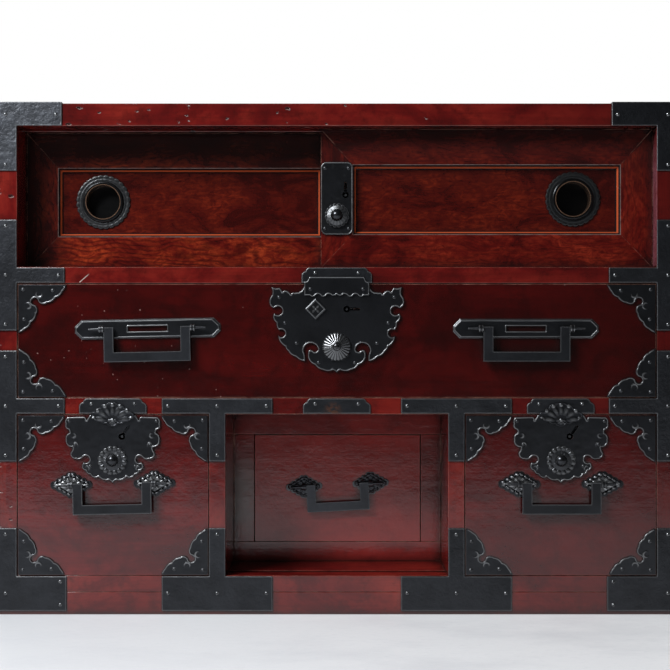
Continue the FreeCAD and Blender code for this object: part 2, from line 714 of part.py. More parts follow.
def carcass_nail_places():
    """Nails in the plates on the right half of the front, as (x, z)."""
    edge = SIDE - OUTER_BOARD / 2
    top_rail = HEIGHT - OUTER_BOARD / 2
    base = (BASE_PLATE_LIFT + LOWER_SHELF_TOP) / 2
    places = [
        (SIDE - CORNER_ARM + NAIL_INSET, top_rail),
        (edge, top_rail),
        (edge, HEIGHT - CORNER_ARM + NAIL_INSET),
        (SIDE - BASE_PLATE_ARM + NAIL_INSET, BASE_PLATE_LIFT + NAIL_INSET),
        (SIDE - BASE_PLATE_ARM + NAIL_INSET, LOWER_SHELF_TOP - NAIL_INSET),
        (edge, base),
        (edge, BASE_PLATE_RISE - NAIL_INSET),
    ]
    for low, high in shelf_spans()[1:]:
        middle = (low + high) / 2
        places.append((SIDE - SIDE_PLATE_ARM + NAIL_INSET, middle))
        for z in (middle - SIDE_PLATE_HALF + NAIL_INSET, middle, middle + SIDE_PLATE_HALF - NAIL_INSET):
            places.append((edge, z))
    rail = (MIDDLE_UNDERSIDE + MIDDLE_TOP) / 2
    reach = PARTITION_PLATE_HALF - NAIL_INSET
    for offset in (-reach, 0.0, reach):
        places.append((PARTITION_MIDDLE + offset, rail))
        places.append((PARTITION_MIDDLE + offset, base))
    places.append((PARTITION_MIDDLE, rail - SIDE_PLATE_HALF + NAIL_INSET))
    places.append((PARTITION_MIDDLE, BASE_PLATE_RISE - NAIL_INSET))
    return places


def strike_nail_places():
    """Two nails in each strike plate, high enough to clear the lock's ornament."""
    reach = STRIKE_PLATE_WIDTH / 2 - 2 * NAIL_INSET
    middle_rail = MIDDLE_TOP - NAIL_INSET
    upper_rail = UPPER_TOP - NAIL_INSET
    places = []
    for side in (-1, 1):
        for middle in (-SMALL_MIDDLE, 0.0, SMALL_MIDDLE):
            places.append((middle + side * reach, middle_rail))
        places.append((side * reach, upper_rail))
    return places


def carcass_nails():
    right = nails(carcass_nail_places(), FRONT - IRON)
    return both_sides(right) + nails(strike_nail_places(), FRONT - IRON)


# Sliding doors

def door_span(side):
    """X range of the door on the given side, -1 for left and 1 for right."""
    near = -side * DOOR_STILE / 2
    far = side * (INNER_SIDE - DOOR_GAP)
    return min(near, far), max(near, far)


def door_panel_window(side):
    """X and Z ranges of the panel that shows inside the frame."""
    x_low, x_high = door_span(side)
    edge = DOOR_STILE + DOOR_MOULDING
    foot = DOOR_FOOT + DOOR_MOULDING
    head = DOOR_HEAD + DOOR_MOULDING
    return (x_low + edge, x_high - edge), (UPPER_TOP + foot, TOP_UNDERSIDE - head)


def grown(span, amount):
    return span[0] - amount, span[1] + amount


def door_frame(side, face):
    """Rails and uprights, mitred at the corners, with tongues at head and foot."""
    x = door_span(side)
    z = (UPPER_TOP + DOOR_GAP, TOP_UNDERSIDE - DOOR_GAP)
    y = (face, face + DOOR_THICKNESS)
    window_x, window_z = door_panel_window(side)
    panel_face = face + DOOR_PANEL_RECESS
    tongue_z = (
        UPPER_TOP - DOOR_GROOVE_BOTTOM + DOOR_GAP,
        TOP_UNDERSIDE + DOOR_TOP_TONGUE,
    )
    body = box(x, y, z).fuse(box(x, door_tongue_span(face), tongue_z)).removeSplitter()
    slope = Part.makeLoft(
        [
            outline(rectangle(grown(window_x, DOOR_MOULDING), grown(window_z, DOOR_MOULDING)), face),
            outline(rectangle(window_x, window_z), panel_face),
        ],
        True,
    )
    through = box(window_x, y, window_z)
    body = body.cut([through, slope, door_panel(side, face)])
    return mitred(body, x, z, window_x, window_z)


def mitred(body, x, z, window_x, window_z):
    """A frame cut from corner to corner into a head, a foot and two uprights."""
    opening_x = grown(window_x, DOOR_MOULDING)
    opening_z = grown(window_z, DOOR_MOULDING)
    low, high = 0, 1
    seams = {}
    for end in (low, high):
        for level in (low, high):
            inner = (window_x[end], window_z[level], 0)
            corner = (opening_x[end], opening_z[level], 0)
            beyond = (2 * x[end] - corner[0], 2 * z[level] - corner[1], 0)
            seams[end, level] = [inner, corner, beyond]
    members = [
        ((low, high), (high, high)),
        ((high, low), (low, low)),
        ((low, low), (low, high)),
        ((high, high), (high, low)),
    ]
    wedges = [seams[start][::-1] + seams[stop] for start, stop in members]
    return [body.common(plate(wedge, BACK, DEPTH)) for wedge in wedges]


def pull_centre(side):
    from_side = FRONT_PULL_FROM_SIDE if side > 0 else REAR_PULL_FROM_SIDE
    return side * (INNER_SIDE - from_side), (UPPER_TOP + TOP_UNDERSIDE) / 2


def door_panel(side, face):
    """Thin panel whose edges sit in the frame, with a hole for the finger pull."""
    window_x, window_z = door_panel_window(side)
    panel_face = face + DOOR_PANEL_RECESS
    y = (panel_face, panel_face + DOOR_PANEL)
    board = box(grown(window_x, DOOR_PANEL_TONGUE), y, grown(window_z, DOOR_PANEL_TONGUE))
    pull_x, pull_z = pull_centre(side)
    return board.cut(rod(pull_x, pull_z, *y, PULL_CUP_RADIUS))


def door_pull(side, face):
    """Iron cup with a raised rim and a petalled flange."""
    x, z = pull_centre(side)
    seat = face + DOOR_PANEL_RECESS
    bottom = seat + PULL_DEPTH
    flange = plate(petals(x, z, PULL_FLANGE_RADIUS, PULL_PETALS, 0.6), seat, PULL_FLANGE)
    rim = rod(x, z, seat - PULL_RIM_HEIGHT, seat, PULL_RIM_RADIUS)
    cup = rod(x, z, seat, bottom, PULL_CUP_RADIUS)
    solid = rim.fuse([flange, cup]).removeSplitter()
    solid = rounded_rim(solid, seat - PULL_RIM_HEIGHT, PULL_RIM_RADIUS)
    return solid.cut(rod(x, z, seat - PULL_RIM_HEIGHT, bottom - PULL_WALL, PULL_MOUTH_RADIUS))


def rounded_rim(solid, y, radius):
    """Round the front edge of a turned piece."""
    edges = []
    for edge in solid.Edges:
        circle = edge.Curve
        if isinstance(circle, Part.Circle) and abs(circle.Center.y - y) < 1e-6:
            if abs(circle.Radius - radius) < 1e-6:
                edges.append(edge)
    return solid.makeFillet((PULL_RIM_RADIUS - PULL_MOUTH_RADIUS) / 2.5, edges)


# Locks

def case_inside(face):
    """Y range inside a drawer's lock case."""
    return face + LOCK_COVER + CASE_WALL, face + DRAWER_FRONT - CASE_WALL


def bolt_span(face):
    """Y range of a drawer's bolt."""
    y_high = case_inside(face)[1] - BOLT_GAP
    return y_high - BOLT_THICKNESS, y_high


def case_block(drawer, boss_drop):
    """Outside of a drawer's lock case, which fills its mortise in the drawer's front."""
    x = (drawer.middle - CASE_HALF_WIDTH, drawer.middle + CASE_HALF_WIDTH)
    y = (drawer.face + LOCK_COVER, drawer.face + DRAWER_FRONT)
    z = (drawer.high - boss_drop - CASE_FOOT, drawer.high - CASE_HEAD)
    return x, y, z


def bolt_channel(drawer, z_from, z_to):
    """Room for the bolt between two heights."""
    half = BOLT_WIDTH / 2 + BOLT_GAP
    y = grown(bolt_span(drawer.face), BOLT_GAP)
    return box((drawer.middle - half, drawer.middle + half), y, (z_from, z_to))


def lock_holes(x, z, key_x, key_z, y_from, y_to):
    """Round holes for the button's shaft and for the key."""
    button = rod(x, z, y_from, y_to, BUTTON_SHAFT_RADIUS + BUTTON_HOLE_GAP)
    return [button, rod(key_x, key_z, y_from, y_to, KEYHOLE_RADIUS)]


def lock_case(drawer, boss_drop, key_offset, key_rise):
    """Iron box behind the lock plate, with the pin that the key turns on."""
    x, y, z = case_block(drawer, boss_drop)
    boss_z = drawer.high - boss_drop
    key_x = drawer.middle + key_offset
    key_z = boss_z + key_rise
    inside = box(grown(x, -CASE_WALL), grown(y, -CASE_WALL), grown(z, -CASE_WALL))
    holes = lock_holes(drawer.middle, boss_z, key_x, key_z, y[0], y[0] + CASE_WALL)
    slot = bolt_channel(drawer, z[1] - CASE_WALL, z[1])
    case = box(x, y, z).cut([inside, slot] + holes)
    pin = rod(key_x, key_z, drawer.face, y[1] - CASE_WALL, KEY_PIN_RADIUS)
    return case.fuse(pin).removeSplitter()


def ramp_axis(face):
    """Where the sloping end of the button's shaft crosses its axis, at rest."""
    return case_inside(face)[0] + FOOT_RISE * BUTTON_TRAVEL / BOLT_TRAVEL + BOLT_GAP


def ramp_y(face, height):
    """Y of the slope that lifts the bolt, at a height above the button's axis."""
    return ramp_axis(face) - height * BUTTON_TRAVEL / BOLT_TRAVEL


def lock_bolt(drawer, boss_drop):
    """Upright bolt with a sloping foot that the button drives upward."""
    half = BOLT_WIDTH / 2
    x = (drawer.middle - half, drawer.middle + half)
    boss_z = drawer.high - boss_drop
    y = bolt_span(drawer.face)
    stem = box(x, y, (boss_z + FOOT_RISE, drawer.high - BOLT_TOP_GAP))
    section = [
        (ramp_y(drawer.face, FOOT_RISE) + BOLT_GAP, boss_z + FOOT_RISE),
        (ramp_y(drawer.face, -FOOT_REACH) + BOLT_GAP, boss_z - FOOT_REACH),
        (y[1], boss_z - FOOT_REACH),
        (y[1], boss_z + FOOT_RISE),
    ]
    return stem.fuse(profile_bar(section, *x)).removeSplitter()


def button_shaft(drawer, boss_z, y_front):
    """Shaft whose inner end slopes to lift the bolt's foot."""
    x = drawer.middle
    inner = ramp_y(drawer.face, -BUTTON_SHAFT_RADIUS)
    shaft = rod(x, boss_z, y_front, inner, BUTTON_SHAFT_RADIUS)
    reach = 2 * BUTTON_SHAFT_RADIUS
    beyond = profile_bar(
        [
            (ramp_y(drawer.face, reach), boss_z + reach),
            (ramp_y(drawer.face, -reach), boss_z - reach),
            (inner + reach, boss_z - reach),
            (inner + reach, boss_z + reach),
        ],
        x - reach,
        x + reach,
    )
    return shaft.cut(beyond)


def keyhole(x, z, angle, y_from, y_to):
    """Round hole with a slot that points along the angle, as a cutting tool."""
    along = Vector(math.cos(math.radians(angle)), 0, math.sin(math.radians(angle)))
    half = KEYHOLE_SLOT_HEIGHT / 2
    slot = box((0, KEYHOLE_SLOT), (y_from, y_to), (-half, half))
    slot.rotate(Vector(0, 0, 0), Vector(0, -1, 0), angle)
    slot.translate(Vector(x, 0, z))
    end = Vector(x, 0, z) + along * KEYHOLE_SLOT
    round_end = rod(end.x, end.z, y_from, y_to, half)
    return rod(x, z, y_from, y_to, KEYHOLE_RADIUS).fuse([slot, round_end])


def plate_keyhole(x, z, angle, face):
    """The keyhole through a lock plate and what is laid on it."""
    return keyhole(x, z, angle, face - LAYER_FACE, face)


def long_lock_half():
    """Left half of the long drawer's lock plate, from its top edge to the tip.

    It goes round the ear, two round notches and the scroll, in shares of half the
    width and of the height above the tip.
    """
    return [
        (-0.46, 1.0, 0),
        (-0.49, 0.97, -0.3),
        (-0.573, 0.905, 0.1),
        (-0.624, 0.90, 0.4),
        (-0.684, 0.884, 0.0),
        (-0.727, 0.916, 0.4),
        (-0.809, 0.911, 0),
        (-0.85, 0.958, -0.2),
        (-0.978, 0.969, -0.25),
        (-0.97, 0.867, 0.25),
        (-1.0, 0.777, 0.3),
        (-0.93, 0.729, -3.0),
        (-0.93, 0.668, 0),
        (-0.95, 0.64, 0.25),
        (-0.897, 0.564, 0.2),
        (-0.863, 0.48, -2.3),
        (-0.873, 0.414, 0),
        (-0.86, 0.374, 0.2),
        (-0.764, 0.296, 0.25),
        (-0.72, 0.244, 0.25),
        (-0.609, 0.181, 0.2),
        (-0.476, 0.13, 0.15),
        (-0.496, 0.24, -1.0),
        (-0.278, 0.262, -0.5),
        (-0.342, 0.234, 0.3),
        (-0.415, 0.251, 0.1),
        (-0.43, 0.183, 0.3),
        (-0.32, 0.089, 0.25),
        (-0.21, 0.033, 0.25),
        (-0.058, 0.029, -0.2),
        (0.0, 0.0, 0),
    ]


def long_tab_half():
    """Left half of the layered tab, whose wavy lower edge meets the centre line."""
    return [
        (-0.84, 1.0, 0),
        (-0.88, 0.86, -0.4),
        (-1.0, 0.72, 0),
        (-1.0, 0.0, 0),
        (-0.83, 0.0, 0.5),
        (-0.66, 0.0, -0.5),
        (-0.5, 0.0, 0.5),
        (-0.33, 0.0, -0.5),
        (-0.16, 0.0, 0.3),
        (0.0, 0.06, 0),
    ]


def small_lock_half():
    """Left half of a small drawer's lock plate."""
    return [
        (-0.487, 1.0, 0),
        (-0.557, 0.922, 0.3),
        (-0.596, 0.974, 0),
        (-0.951, 0.968, 0.4),
        (-1.0, 0.875, 0.5),
        (-0.936, 0.787, -0.3),
        (-0.923, 0.735, 0.4),
        (-0.994, 0.635, 0.5),
        (-0.849, 0.529, -0.2),
        (-0.894, 0.449, 0.5),
        (-0.77, 0.354, 0.35),
        (-0.63, 0.385, -2.2),
        (-0.613, 0.303, 0.2),
        (-0.649, 0.265, 0.45),
        (-0.564, 0.182, 0.4),
        (-0.472, 0.129, 0.5),
        (-0.298, 0.094, 0),
        (-0.251, 0.068, 0.25),
        (-0.083, 0.047, -0.2),
        (0.0, 0.0, 0),
    ]


def small_crest_half():
    """Left half of the crest of petals over it."""
    return [
        (0.0, 1.0, 0.3),
        (-0.3, 0.93, 0.5),
        (-0.56, 0.79, 0.5),
        (-0.74, 0.6, 0.5),
        (-1.0, 0.5, 0.6),
        (-0.84, 0.32, 0.4),
        (-0.56, 0.22, 0.4),
        (-0.26, 0.12, 0.3),
        (0.0, 0.0, 0),
    ]


def long_lock_plate():
    """Bat-shaped plate with a layered tab, a diamond ornament and a domed boss."""
    drawer = LONG_DRAWER
    x = drawer.middle
    tip = drawer.high - LONG_LOCK_HEIGHT
    tab_low = drawer.high + LONG_TAB_RISE - LONG_TAB_HEIGHT
    boss_z = drawer.high - LONG_BOSS_DROP
    key = (x + LONG_KEY_OFFSET, boss_z + LONG_KEY_RISE)
    points = placed(both_halves(long_lock_half()), x, tip, LONG_LOCK_WIDTH, LONG_LOCK_HEIGHT)
    tab_points = placed(both_halves(long_tab_half()), x, tab_low, LONG_TAB_WIDTH, LONG_TAB_HEIGHT)
    base = plate(points, drawer.face, LOCK_IRON).cut(plate_keyhole(*key, LONG_KEY_ANGLE, drawer.face))
    tab = plate(tab_points, drawer.face - LOCK_IRON, LAYER_IRON)
    emblem = plate(emblem_points(x - EMBLEM_OFFSET, key[1]), drawer.face - LOCK_IRON, LAYER_IRON)
    boss = dome(x, boss_z, drawer.face - LOCK_IRON, LONG_BOSS_RADIUS, LONG_BOSS_HEIGHT)
    hole = rod(x, boss_z, drawer.face - 2 * LONG_BOSS_HEIGHT, drawer.face, button_hole())
    return [base.cut(hole), tab, emblem, boss.cut(hole)] + nails(long_lock_nails(), drawer.face - LOCK_IRON)


def emblem_points(x, z):
    """Plain diamond."""
    return [
        (x, z - EMBLEM_HALF, 0),
        (x + EMBLEM_HALF, z, 0),
        (x, z + EMBLEM_HALF, 0),
        (x - EMBLEM_HALF, z, 0),
    ]


def button_hole():
    return LONG_BUTTON_RADIUS + BUTTON_HOLE_GAP


def long_lock_nails():
    """Nails around the edge of the long lock plate, and two that hold its tab."""
    half = LONG_LOCK_WIDTH / 2
    tip = LONG_DRAWER.high - LONG_LOCK_HEIGHT
    shares = ((0.86, 0.85), (0.77, 0.56), (0.6, 0.33), (0.27, 0.11))
    places = []
    for side in (-1, 1):
        for across, up in shares:
            places.append((side * across * half, tip + up * LONG_LOCK_HEIGHT))
    return places


def tab_nails():
    """Nails that hold the tab over the long lock."""
    z = LONG_DRAWER.high + LONG_TAB_RISE - LONG_TAB_HEIGHT + NAIL_INSET
    reach = LONG_TAB_WIDTH / 2 - NAIL_INSET
    return nails([(-reach, z), (reach, z)], LONG_DRAWER.face - LAYER_FACE)


def small_lock_plate(drawer):
    """Butterfly-shaped plate with a crest of petals and a petalled ring."""
    x = drawer.middle
    tip = drawer.high - SMALL_LOCK_HEIGHT
    crest_low = drawer.high + SMALL_CREST_RISE - SMALL_CREST_HEIGHT
    boss_z = drawer.high - SMALL_BOSS_DROP
    layer = drawer.face - LOCK_IRON
    points = placed(both_halves(small_lock_half()), x, tip, SMALL_LOCK_WIDTH, SMALL_LOCK_HEIGHT)
    crest_half = small_crest_half()
    crest_points = placed(both_halves(crest_half), x, crest_low, SMALL_CREST_WIDTH, SMALL_CREST_HEIGHT)
    key = plate_keyhole(x + SMALL_KEY_OFFSET, boss_z + SMALL_KEY_RISE, SMALL_KEY_ANGLE, drawer.face)
    shaft = rod(x, boss_z, drawer.face - LAYER_FACE, drawer.face, BUTTON_SHAFT_RADIUS + BUTTON_HOLE_GAP)
    base = plate(points, drawer.face, LOCK_IRON).cut([key, shaft])
    crest = plate(crest_points, layer, LAYER_IRON).cut(key)
    ring = petal_ring(x, boss_z, layer, SMALL_RING_RADIUS)
    return [base, crest, ring] + nails(small_lock_nails(drawer), layer)


def small_lock_nails(drawer):
    half = SMALL_LOCK_WIDTH / 2
    tip = drawer.high - SMALL_LOCK_HEIGHT
    shares = ((0.93, 0.91), (0.8, 0.565), (0.48, 0.245))
    places = []
    for side in (-1, 1):
        for across, up in shares:
            places.append((drawer.middle + side * across * half, tip + up * SMALL_LOCK_HEIGHT))
    return places


def petal_ring(x, z, y_back, radius):
    """Ring of petals around a push button."""
    ring = plate(petals(x, z, radius, RING_PETALS, 0.6), y_back, SMALL_RING_HEIGHT)
    well = SMALL_BUTTON_RADIUS + BUTTON_HOLE_GAP
    return ring.cut(rod(x, z, y_back - SMALL_RING_HEIGHT, y_back, well))


def small_lock_button(drawer):
    """Domed push button on a shaft."""
    boss_z = drawer.high - SMALL_BOSS_DROP
    seat = drawer.face - LOCK_IRON - BUTTON_SEAT_GAP - BUTTON_TRAVEL
    head = dome(drawer.middle, boss_z, seat, SMALL_BUTTON_RADIUS, SMALL_BUTTON_HEIGHT)
    return head.fuse(button_shaft(drawer, boss_z, seat)).removeSplitter()


def long_lock_button():
    """Small push button in the middle of the long drawer's domed boss."""
    boss_z = LONG_DRAWER.high - LONG_BOSS_DROP
    top = LONG_DRAWER.face - LOCK_IRON - LONG_BOSS_HEIGHT
    head_end = top - BUTTON_TRAVEL
    collar = LONG_DRAWER.face - LOCK_IRON - BUTTON_TRAVEL
    cap = dome(LONG_DRAWER.middle, boss_z, head_end, LONG_BUTTON_RADIUS, LONG_BUTTON_HEIGHT)
    head = rod(LONG_DRAWER.middle, boss_z, head_end, collar, LONG_BUTTON_RADIUS)
    shaft = button_shaft(LONG_DRAWER, boss_z, collar)
    return head.fuse([cap, shaft]).removeSplitter()


def door_lock_middle():
    """Centre of the lock plate on the front door's inner upright."""
    return 0.0, (UPPER_TOP + TOP_UNDERSIDE) / 2


def door_lock_case_span():
    """X, Y and Z ranges of the case let into the front door's upright."""
    x, z = door_lock_middle()
    boss_z = z - DOOR_BOSS_DROP
    y = (FRONT_DOOR_FACE + DOOR_THICKNESS - DOOR_CASE_DEPTH, FRONT_DOOR_FACE + DOOR_THICKNESS)
    x_span = (x - DOOR_CASE_HALF_WIDTH, x + DOOR_CASE_HALF_WIDTH)
    return x_span, y, (boss_z - CASE_FOOT / 2, boss_z + DOOR_KEY_RISE + CASE_FOOT / 2)


def door_bolt_span():
    """X, Y and Z ranges of the door's drawn bolt."""
    x, z = door_lock_middle()
    boss_z = z - DOOR_BOSS_DROP
    back = FRONT_DOOR_FACE + DOOR_THICKNESS - DOOR_BOLT_INSET
    y_low = FRONT_DOOR_FACE + DOOR_THICKNESS - DOOR_CASE_DEPTH + CASE_WALL + BOLT_GAP
    z_low = boss_z + DOOR_BOLT_RISE - DOOR_BOLT_HEIGHT / 2
    return (x - BOLT_WIDTH / 2, x + BOLT_WIDTH / 2), (y_low, back), (z_low, z_low + DOOR_BOLT_HEIGHT)


def door_lock_plate():
    """Plate with rounded corners, a keyhole and a petalled ring."""
    x, z = door_lock_middle()
    boss_z = z - DOOR_BOSS_DROP
    layer = FRONT_DOOR_FACE - LOCK_IRON
    half = DOOR_LOCK_WIDTH / 2
    tall = DOOR_LOCK_HEIGHT / 2
    arc = math.tan(math.pi / 8)
    corner = DOOR_LOCK_ROUND
    points = [
        (x - half + corner, z - tall, 0),
        (x + half - corner, z - tall, arc),
        (x + half, z - tall + corner, 0),
        (x + half, z + tall - corner, arc),
        (x + half - corner, z + tall, 0),
        (x - half + corner, z + tall, arc),
        (x - half, z + tall - corner, 0),
        (x - half, z - tall + corner, arc),
    ]
    key = plate_keyhole(x + DOOR_KEY_OFFSET, boss_z + DOOR_KEY_RISE, DOOR_KEY_ANGLE, FRONT_DOOR_FACE)
    shaft = rod(x, boss_z, layer, FRONT_DOOR_FACE, BUTTON_SHAFT_RADIUS + BUTTON_HOLE_GAP)
    base = plate(points, FRONT_DOOR_FACE, LOCK_IRON).cut([key, shaft])
    ring = petal_ring(x, boss_z, layer, DOOR_RING_RADIUS)
    places = []
    for side in (-1, 1):
        for end in (-1, 1):
            places.append((x + side * (half - NAIL_INSET / 1.5), z + end * (tall - NAIL_INSET)))
    return [base, ring] + nails(places, layer)


def door_lock_case():
    x, y, z = door_lock_case_span()
    middle, plate_z = door_lock_middle()
    boss_z = plate_z - DOOR_BOSS_DROP
    key_x = middle + DOOR_KEY_OFFSET
    key_z = boss_z + DOOR_KEY_RISE
    inside = box(grown(x, -CASE_WALL), grown(y, -CASE_WALL), grown(z, -CASE_WALL))
    holes = lock_holes(middle, boss_z, key_x, key_z, y[0], y[0] + CASE_WALL)
    bolt_x, _, bolt_z = door_bolt_span()
    slot = box(grown(bolt_x, BOLT_GAP), (y[1] - CASE_WALL, y[1]), grown(bolt_z, BOLT_GAP))
    case = box(x, y, z).cut([inside, slot] + holes)
    pin = rod(key_x, key_z, FRONT_DOOR_FACE, y[1] - CASE_WALL, KEY_PIN_RADIUS)
    return case.fuse(pin).removeSplitter()


def door_lock_button():
    """Domed push button whose shaft reaches into the door's lock case."""
    x, z = door_lock_middle()
    boss_z = z - DOOR_BOSS_DROP
    seat = FRONT_DOOR_FACE - LOCK_IRON - BUTTON_SEAT_GAP - BUTTON_TRAVEL
    end = door_lock_case_span()[1][0] + CASE_WALL + BUTTON_TRAVEL
    head = dome(x, boss_z, seat, SMALL_BUTTON_RADIUS, SMALL_BUTTON_HEIGHT)
    return head.fuse(rod(x, boss_z, seat, end, BUTTON_SHAFT_RADIUS)).removeSplitter()


def front_door_frame():
    """Frame of the right door, cut for its lock."""
    x, z = door_lock_middle()
    boss_z = z - DOOR_BOSS_DROP
    y_mortise = door_lock_case_span()[1]
    key = (x + DOOR_KEY_OFFSET, boss_z + DOOR_KEY_RISE)
    holes = lock_holes(x, boss_z, *key, FRONT_DOOR_FACE, y_mortise[0])
    slot = keyhole(*key, DOOR_KEY_ANGLE, FRONT_DOOR_FACE, y_mortise[0])
    cuts = [box(*door_lock_case_span()), slot] + holes
    return [member.cut(cuts) for member in door_frame(1, FRONT_DOOR_FACE)]


def rear_door_frame():
    """Frame of the left door, with a hole that the front door's bolt enters."""
    x, _, z = door_bolt_span()
    depth = BOLT_TRAVEL - DOOR_BOLT_INSET - DOOR_SPACING + 2 * BOLT_GAP
    hole = box(grown(x, BOLT_GAP), (REAR_DOOR_FACE, REAR_DOOR_FACE + depth), grown(z, BOLT_GAP))
    return [member.cut(hole) for member in door_frame(-1, REAR_DOOR_FACE)]


# Drawers

def drawer_front(drawer, handles, lock=None):
    """Thick front board, lapped for the sides and bottom, and cut for its fittings."""
    x = (drawer.left, drawer.right)
    back = drawer.face + DRAWER_FRONT
    lap = (back - DRAWER_LAP, back)
    board = box(x, (drawer.face, back), (drawer.low, drawer.high))
    side_top = drawer.high - DRAWER_SIDE_DROP
    cuts = [
        box((drawer.left, drawer.left + DRAWER_SIDE), lap, (drawer.low, side_top)),
        box((drawer.right - DRAWER_SIDE, drawer.right), lap, (drawer.low, side_top)),
        box(x, lap, (drawer.low, drawer.low + DRAWER_BOTTOM)),
    ]
    for handle in handles:
        for shank_x, shank_z in handle.posts():
            cuts.append(rod(shank_x, shank_z, drawer.face, back, SHANK_RADIUS))
    if lock:
        boss_drop, key_offset, key_rise, key_angle = lock
        boss_z = drawer.high - boss_drop
        key = (drawer.middle + key_offset, boss_z + key_rise)
        case = case_block(drawer, boss_drop)
        cuts.append(box(*case))
        cuts.append(bolt_channel(drawer, case[2][1], drawer.high))
        cuts += lock_holes(drawer.middle, boss_z, *key, drawer.face, case[1][0])
        cuts.append(keyhole(*key, key_angle, drawer.face, case[1][0]))
    return board.cut(cuts)


def drawer_box(drawer):
    """Two sides, a back and a bottom."""
    lap = drawer.face + DRAWER_FRONT - DRAWER_LAP
    floor = drawer.low + DRAWER_BOTTOM
    top = drawer.high - DRAWER_SIDE_DROP
    left = box((drawer.left, drawer.left + DRAWER_SIDE), (lap, drawer.back), (floor, top))
    right = box((drawer.right - DRAWER_SIDE, drawer.right), (lap, drawer.back), (floor, top))
    inner = (drawer.left + DRAWER_SIDE, drawer.right - DRAWER_SIDE)
    back = box(inner, (drawer.back - DRAWER_SIDE, drawer.back), (floor, top))
    bottom = box((drawer.left, drawer.right), (lap, drawer.back), (drawer.low, floor))
    return [left, right, back, bottom]


def corner_outline(reach, leg):
    """Plate in a lower left corner: two legs, a scalloped edge and a round notch."""
    shares = [
        (0.0, 1.0, 0),
        (0.0, 0.0, 0),
        (1.0, 0.0, 0.12),
        (0.92, 0.14, 0.25),
        (0.78, 0.26, 0.25),
        (0.6, 0.375, 0.3),
        (0.46, 0.385, 0.1),
        (0.42, 0.345, -2.4),
        (0.345, 0.42, 0.1),
        (0.385, 0.46, 0.3),
        (0.375, 0.6, 0.25),
        (0.26, 0.78, 0.25),
        (0.14, 0.92, 0.12),
    ]
    return [(u * reach, v * leg, bulge) for u, v, bulge in shares]


def drawer_corners(drawer, reach, leg):
    """Corner plates and their nails at the four corners of a drawer's front."""
    x = (drawer.left + CORNER_EDGE_GAP, drawer.right - CORNER_EDGE_GAP)
    z = (drawer.low + CORNER_EDGE_GAP, drawer.high - CORNER_EDGE_GAP)
    middle_x = (x[0] + x[1]) / 2
    middle_z = (z[0] + z[1]) / 2
    corner = plate(corner_outline(reach, leg), drawer.face, IRON)
    heads = nails(
        [(0.1 * reach, 0.1 * leg), (0.72 * reach, 0.12 * leg), (0.12 * reach, 0.72 * leg)],
        drawer.face - IRON,
    )
    shapes = []
    for shape in [corner] + heads:
        shape.translate(Vector(x[0], 0, z[0]))
        right = shape.mirror(Vector(middle_x, 0, 0), Vector(1, 0, 0))
        for lower in (shape, right):
            shapes.append(lower)
            shapes.append(lower.mirror(Vector(0, 0, middle_z), Vector(0, 0, 1)))
    return shapes


# Handles

class Handle:
    """A hanging handle: where its pivot is, how wide it is and how far it hangs."""

    def __init__(self, drawer, x, pivot_drop, width, drop, tilt):
        self.drawer = drawer
        self.x = x
        self.z = drawer.high - pivot_drop
        self.y = drawer.face - PIVOT_STANDOFF
        self.width = width
        self.drop = drop
        self.tilt = tilt
        self.reach = width / 2 + EYE_GAP + EYE_WIDTH / 2

    def level_posts(self):
        """Middle of both eyes before the handle is tilted."""
        return [(self.x - self.reach, self.z), (self.x + self.reach, self.z)]

    def posts(self):
        """Middle of both eyes as (x, z)."""
        across = self.reach * math.cos(math.radians(self.tilt))
        up = self.reach * math.sin(math.radians(self.tilt))
        return [(self.x - across, self.z - up), (self.x + across, self.z + up)]

    def tilted(self, shapes):
        """The shapes turned about the handle's middle, right end up."""
        turned = [shape.copy() for shape in shapes]
        for shape in turned:
            shape.rotate(Vector(self.x, 0, self.z), Vector(0, -1, 0), self.tilt)
        return turned


LONG_LEFT_HANDLE = Handle(
    LONG_DRAWER, -LONG_HANDLE_OFFSET, LONG_HANDLE_DROP, LONG_BAIL_WIDTH, LONG_BAIL_DROP, LONG_LEFT_TILT
)
LONG_RIGHT_HANDLE = Handle(
    LONG_DRAWER, LONG_HANDLE_OFFSET, LONG_HANDLE_DROP, LONG_BAIL_WIDTH, LONG_BAIL_DROP, 0.0
)
LEFT_HANDLE = Handle(
    LEFT_DRAWER, LEFT_DRAWER.middle, SMALL_HANDLE_DROP, SMALL_BAIL_WIDTH, SMALL_BAIL_DROP, SMALL_LEFT_TILT
)
RIGHT_HANDLE = Handle(
    RIGHT_DRAWER, RIGHT_DRAWER.middle, SMALL_HANDLE_DROP, SMALL_BAIL_WIDTH, SMALL_BAIL_DROP, 0.0
)
NICHE_HANDLE = Handle(
    NICHE_DRAWER, NICHE_DRAWER.middle, NICHE_HANDLE_DROP, NICHE_BAIL_WIDTH, NICHE_BAIL_DROP, NICHE_TILT
)


def handle_posts(handle):
    """Two split pins: an eye in front, a shank through the wood, a leg bent over behind."""
    back = handle.drawer.face + DRAWER_FRONT
    half = EYE_WIDTH / 2
    shapes = []
    for x, z in handle.level_posts():
        eye = cross_rod(handle.y, z, x - half, x + half, EYE_RADIUS)
        neck = rod(x, z, handle.y, back, SHANK_RADIUS)
        leg = box(
            (x - SHANK_RADIUS / 2, x + SHANK_RADIUS / 2),
            (back, back + SHANK_RADIUS),
            (z - SHANK_LEG, z + SHANK_LEG),
        )
        bore = cross_rod(handle.y, z, x - half, x + half, PIN_RADIUS + PIN_GAP)
        shapes.append(eye.fuse([neck, leg]).removeSplitter().cut(bore))
    return handle.tilted(shapes)


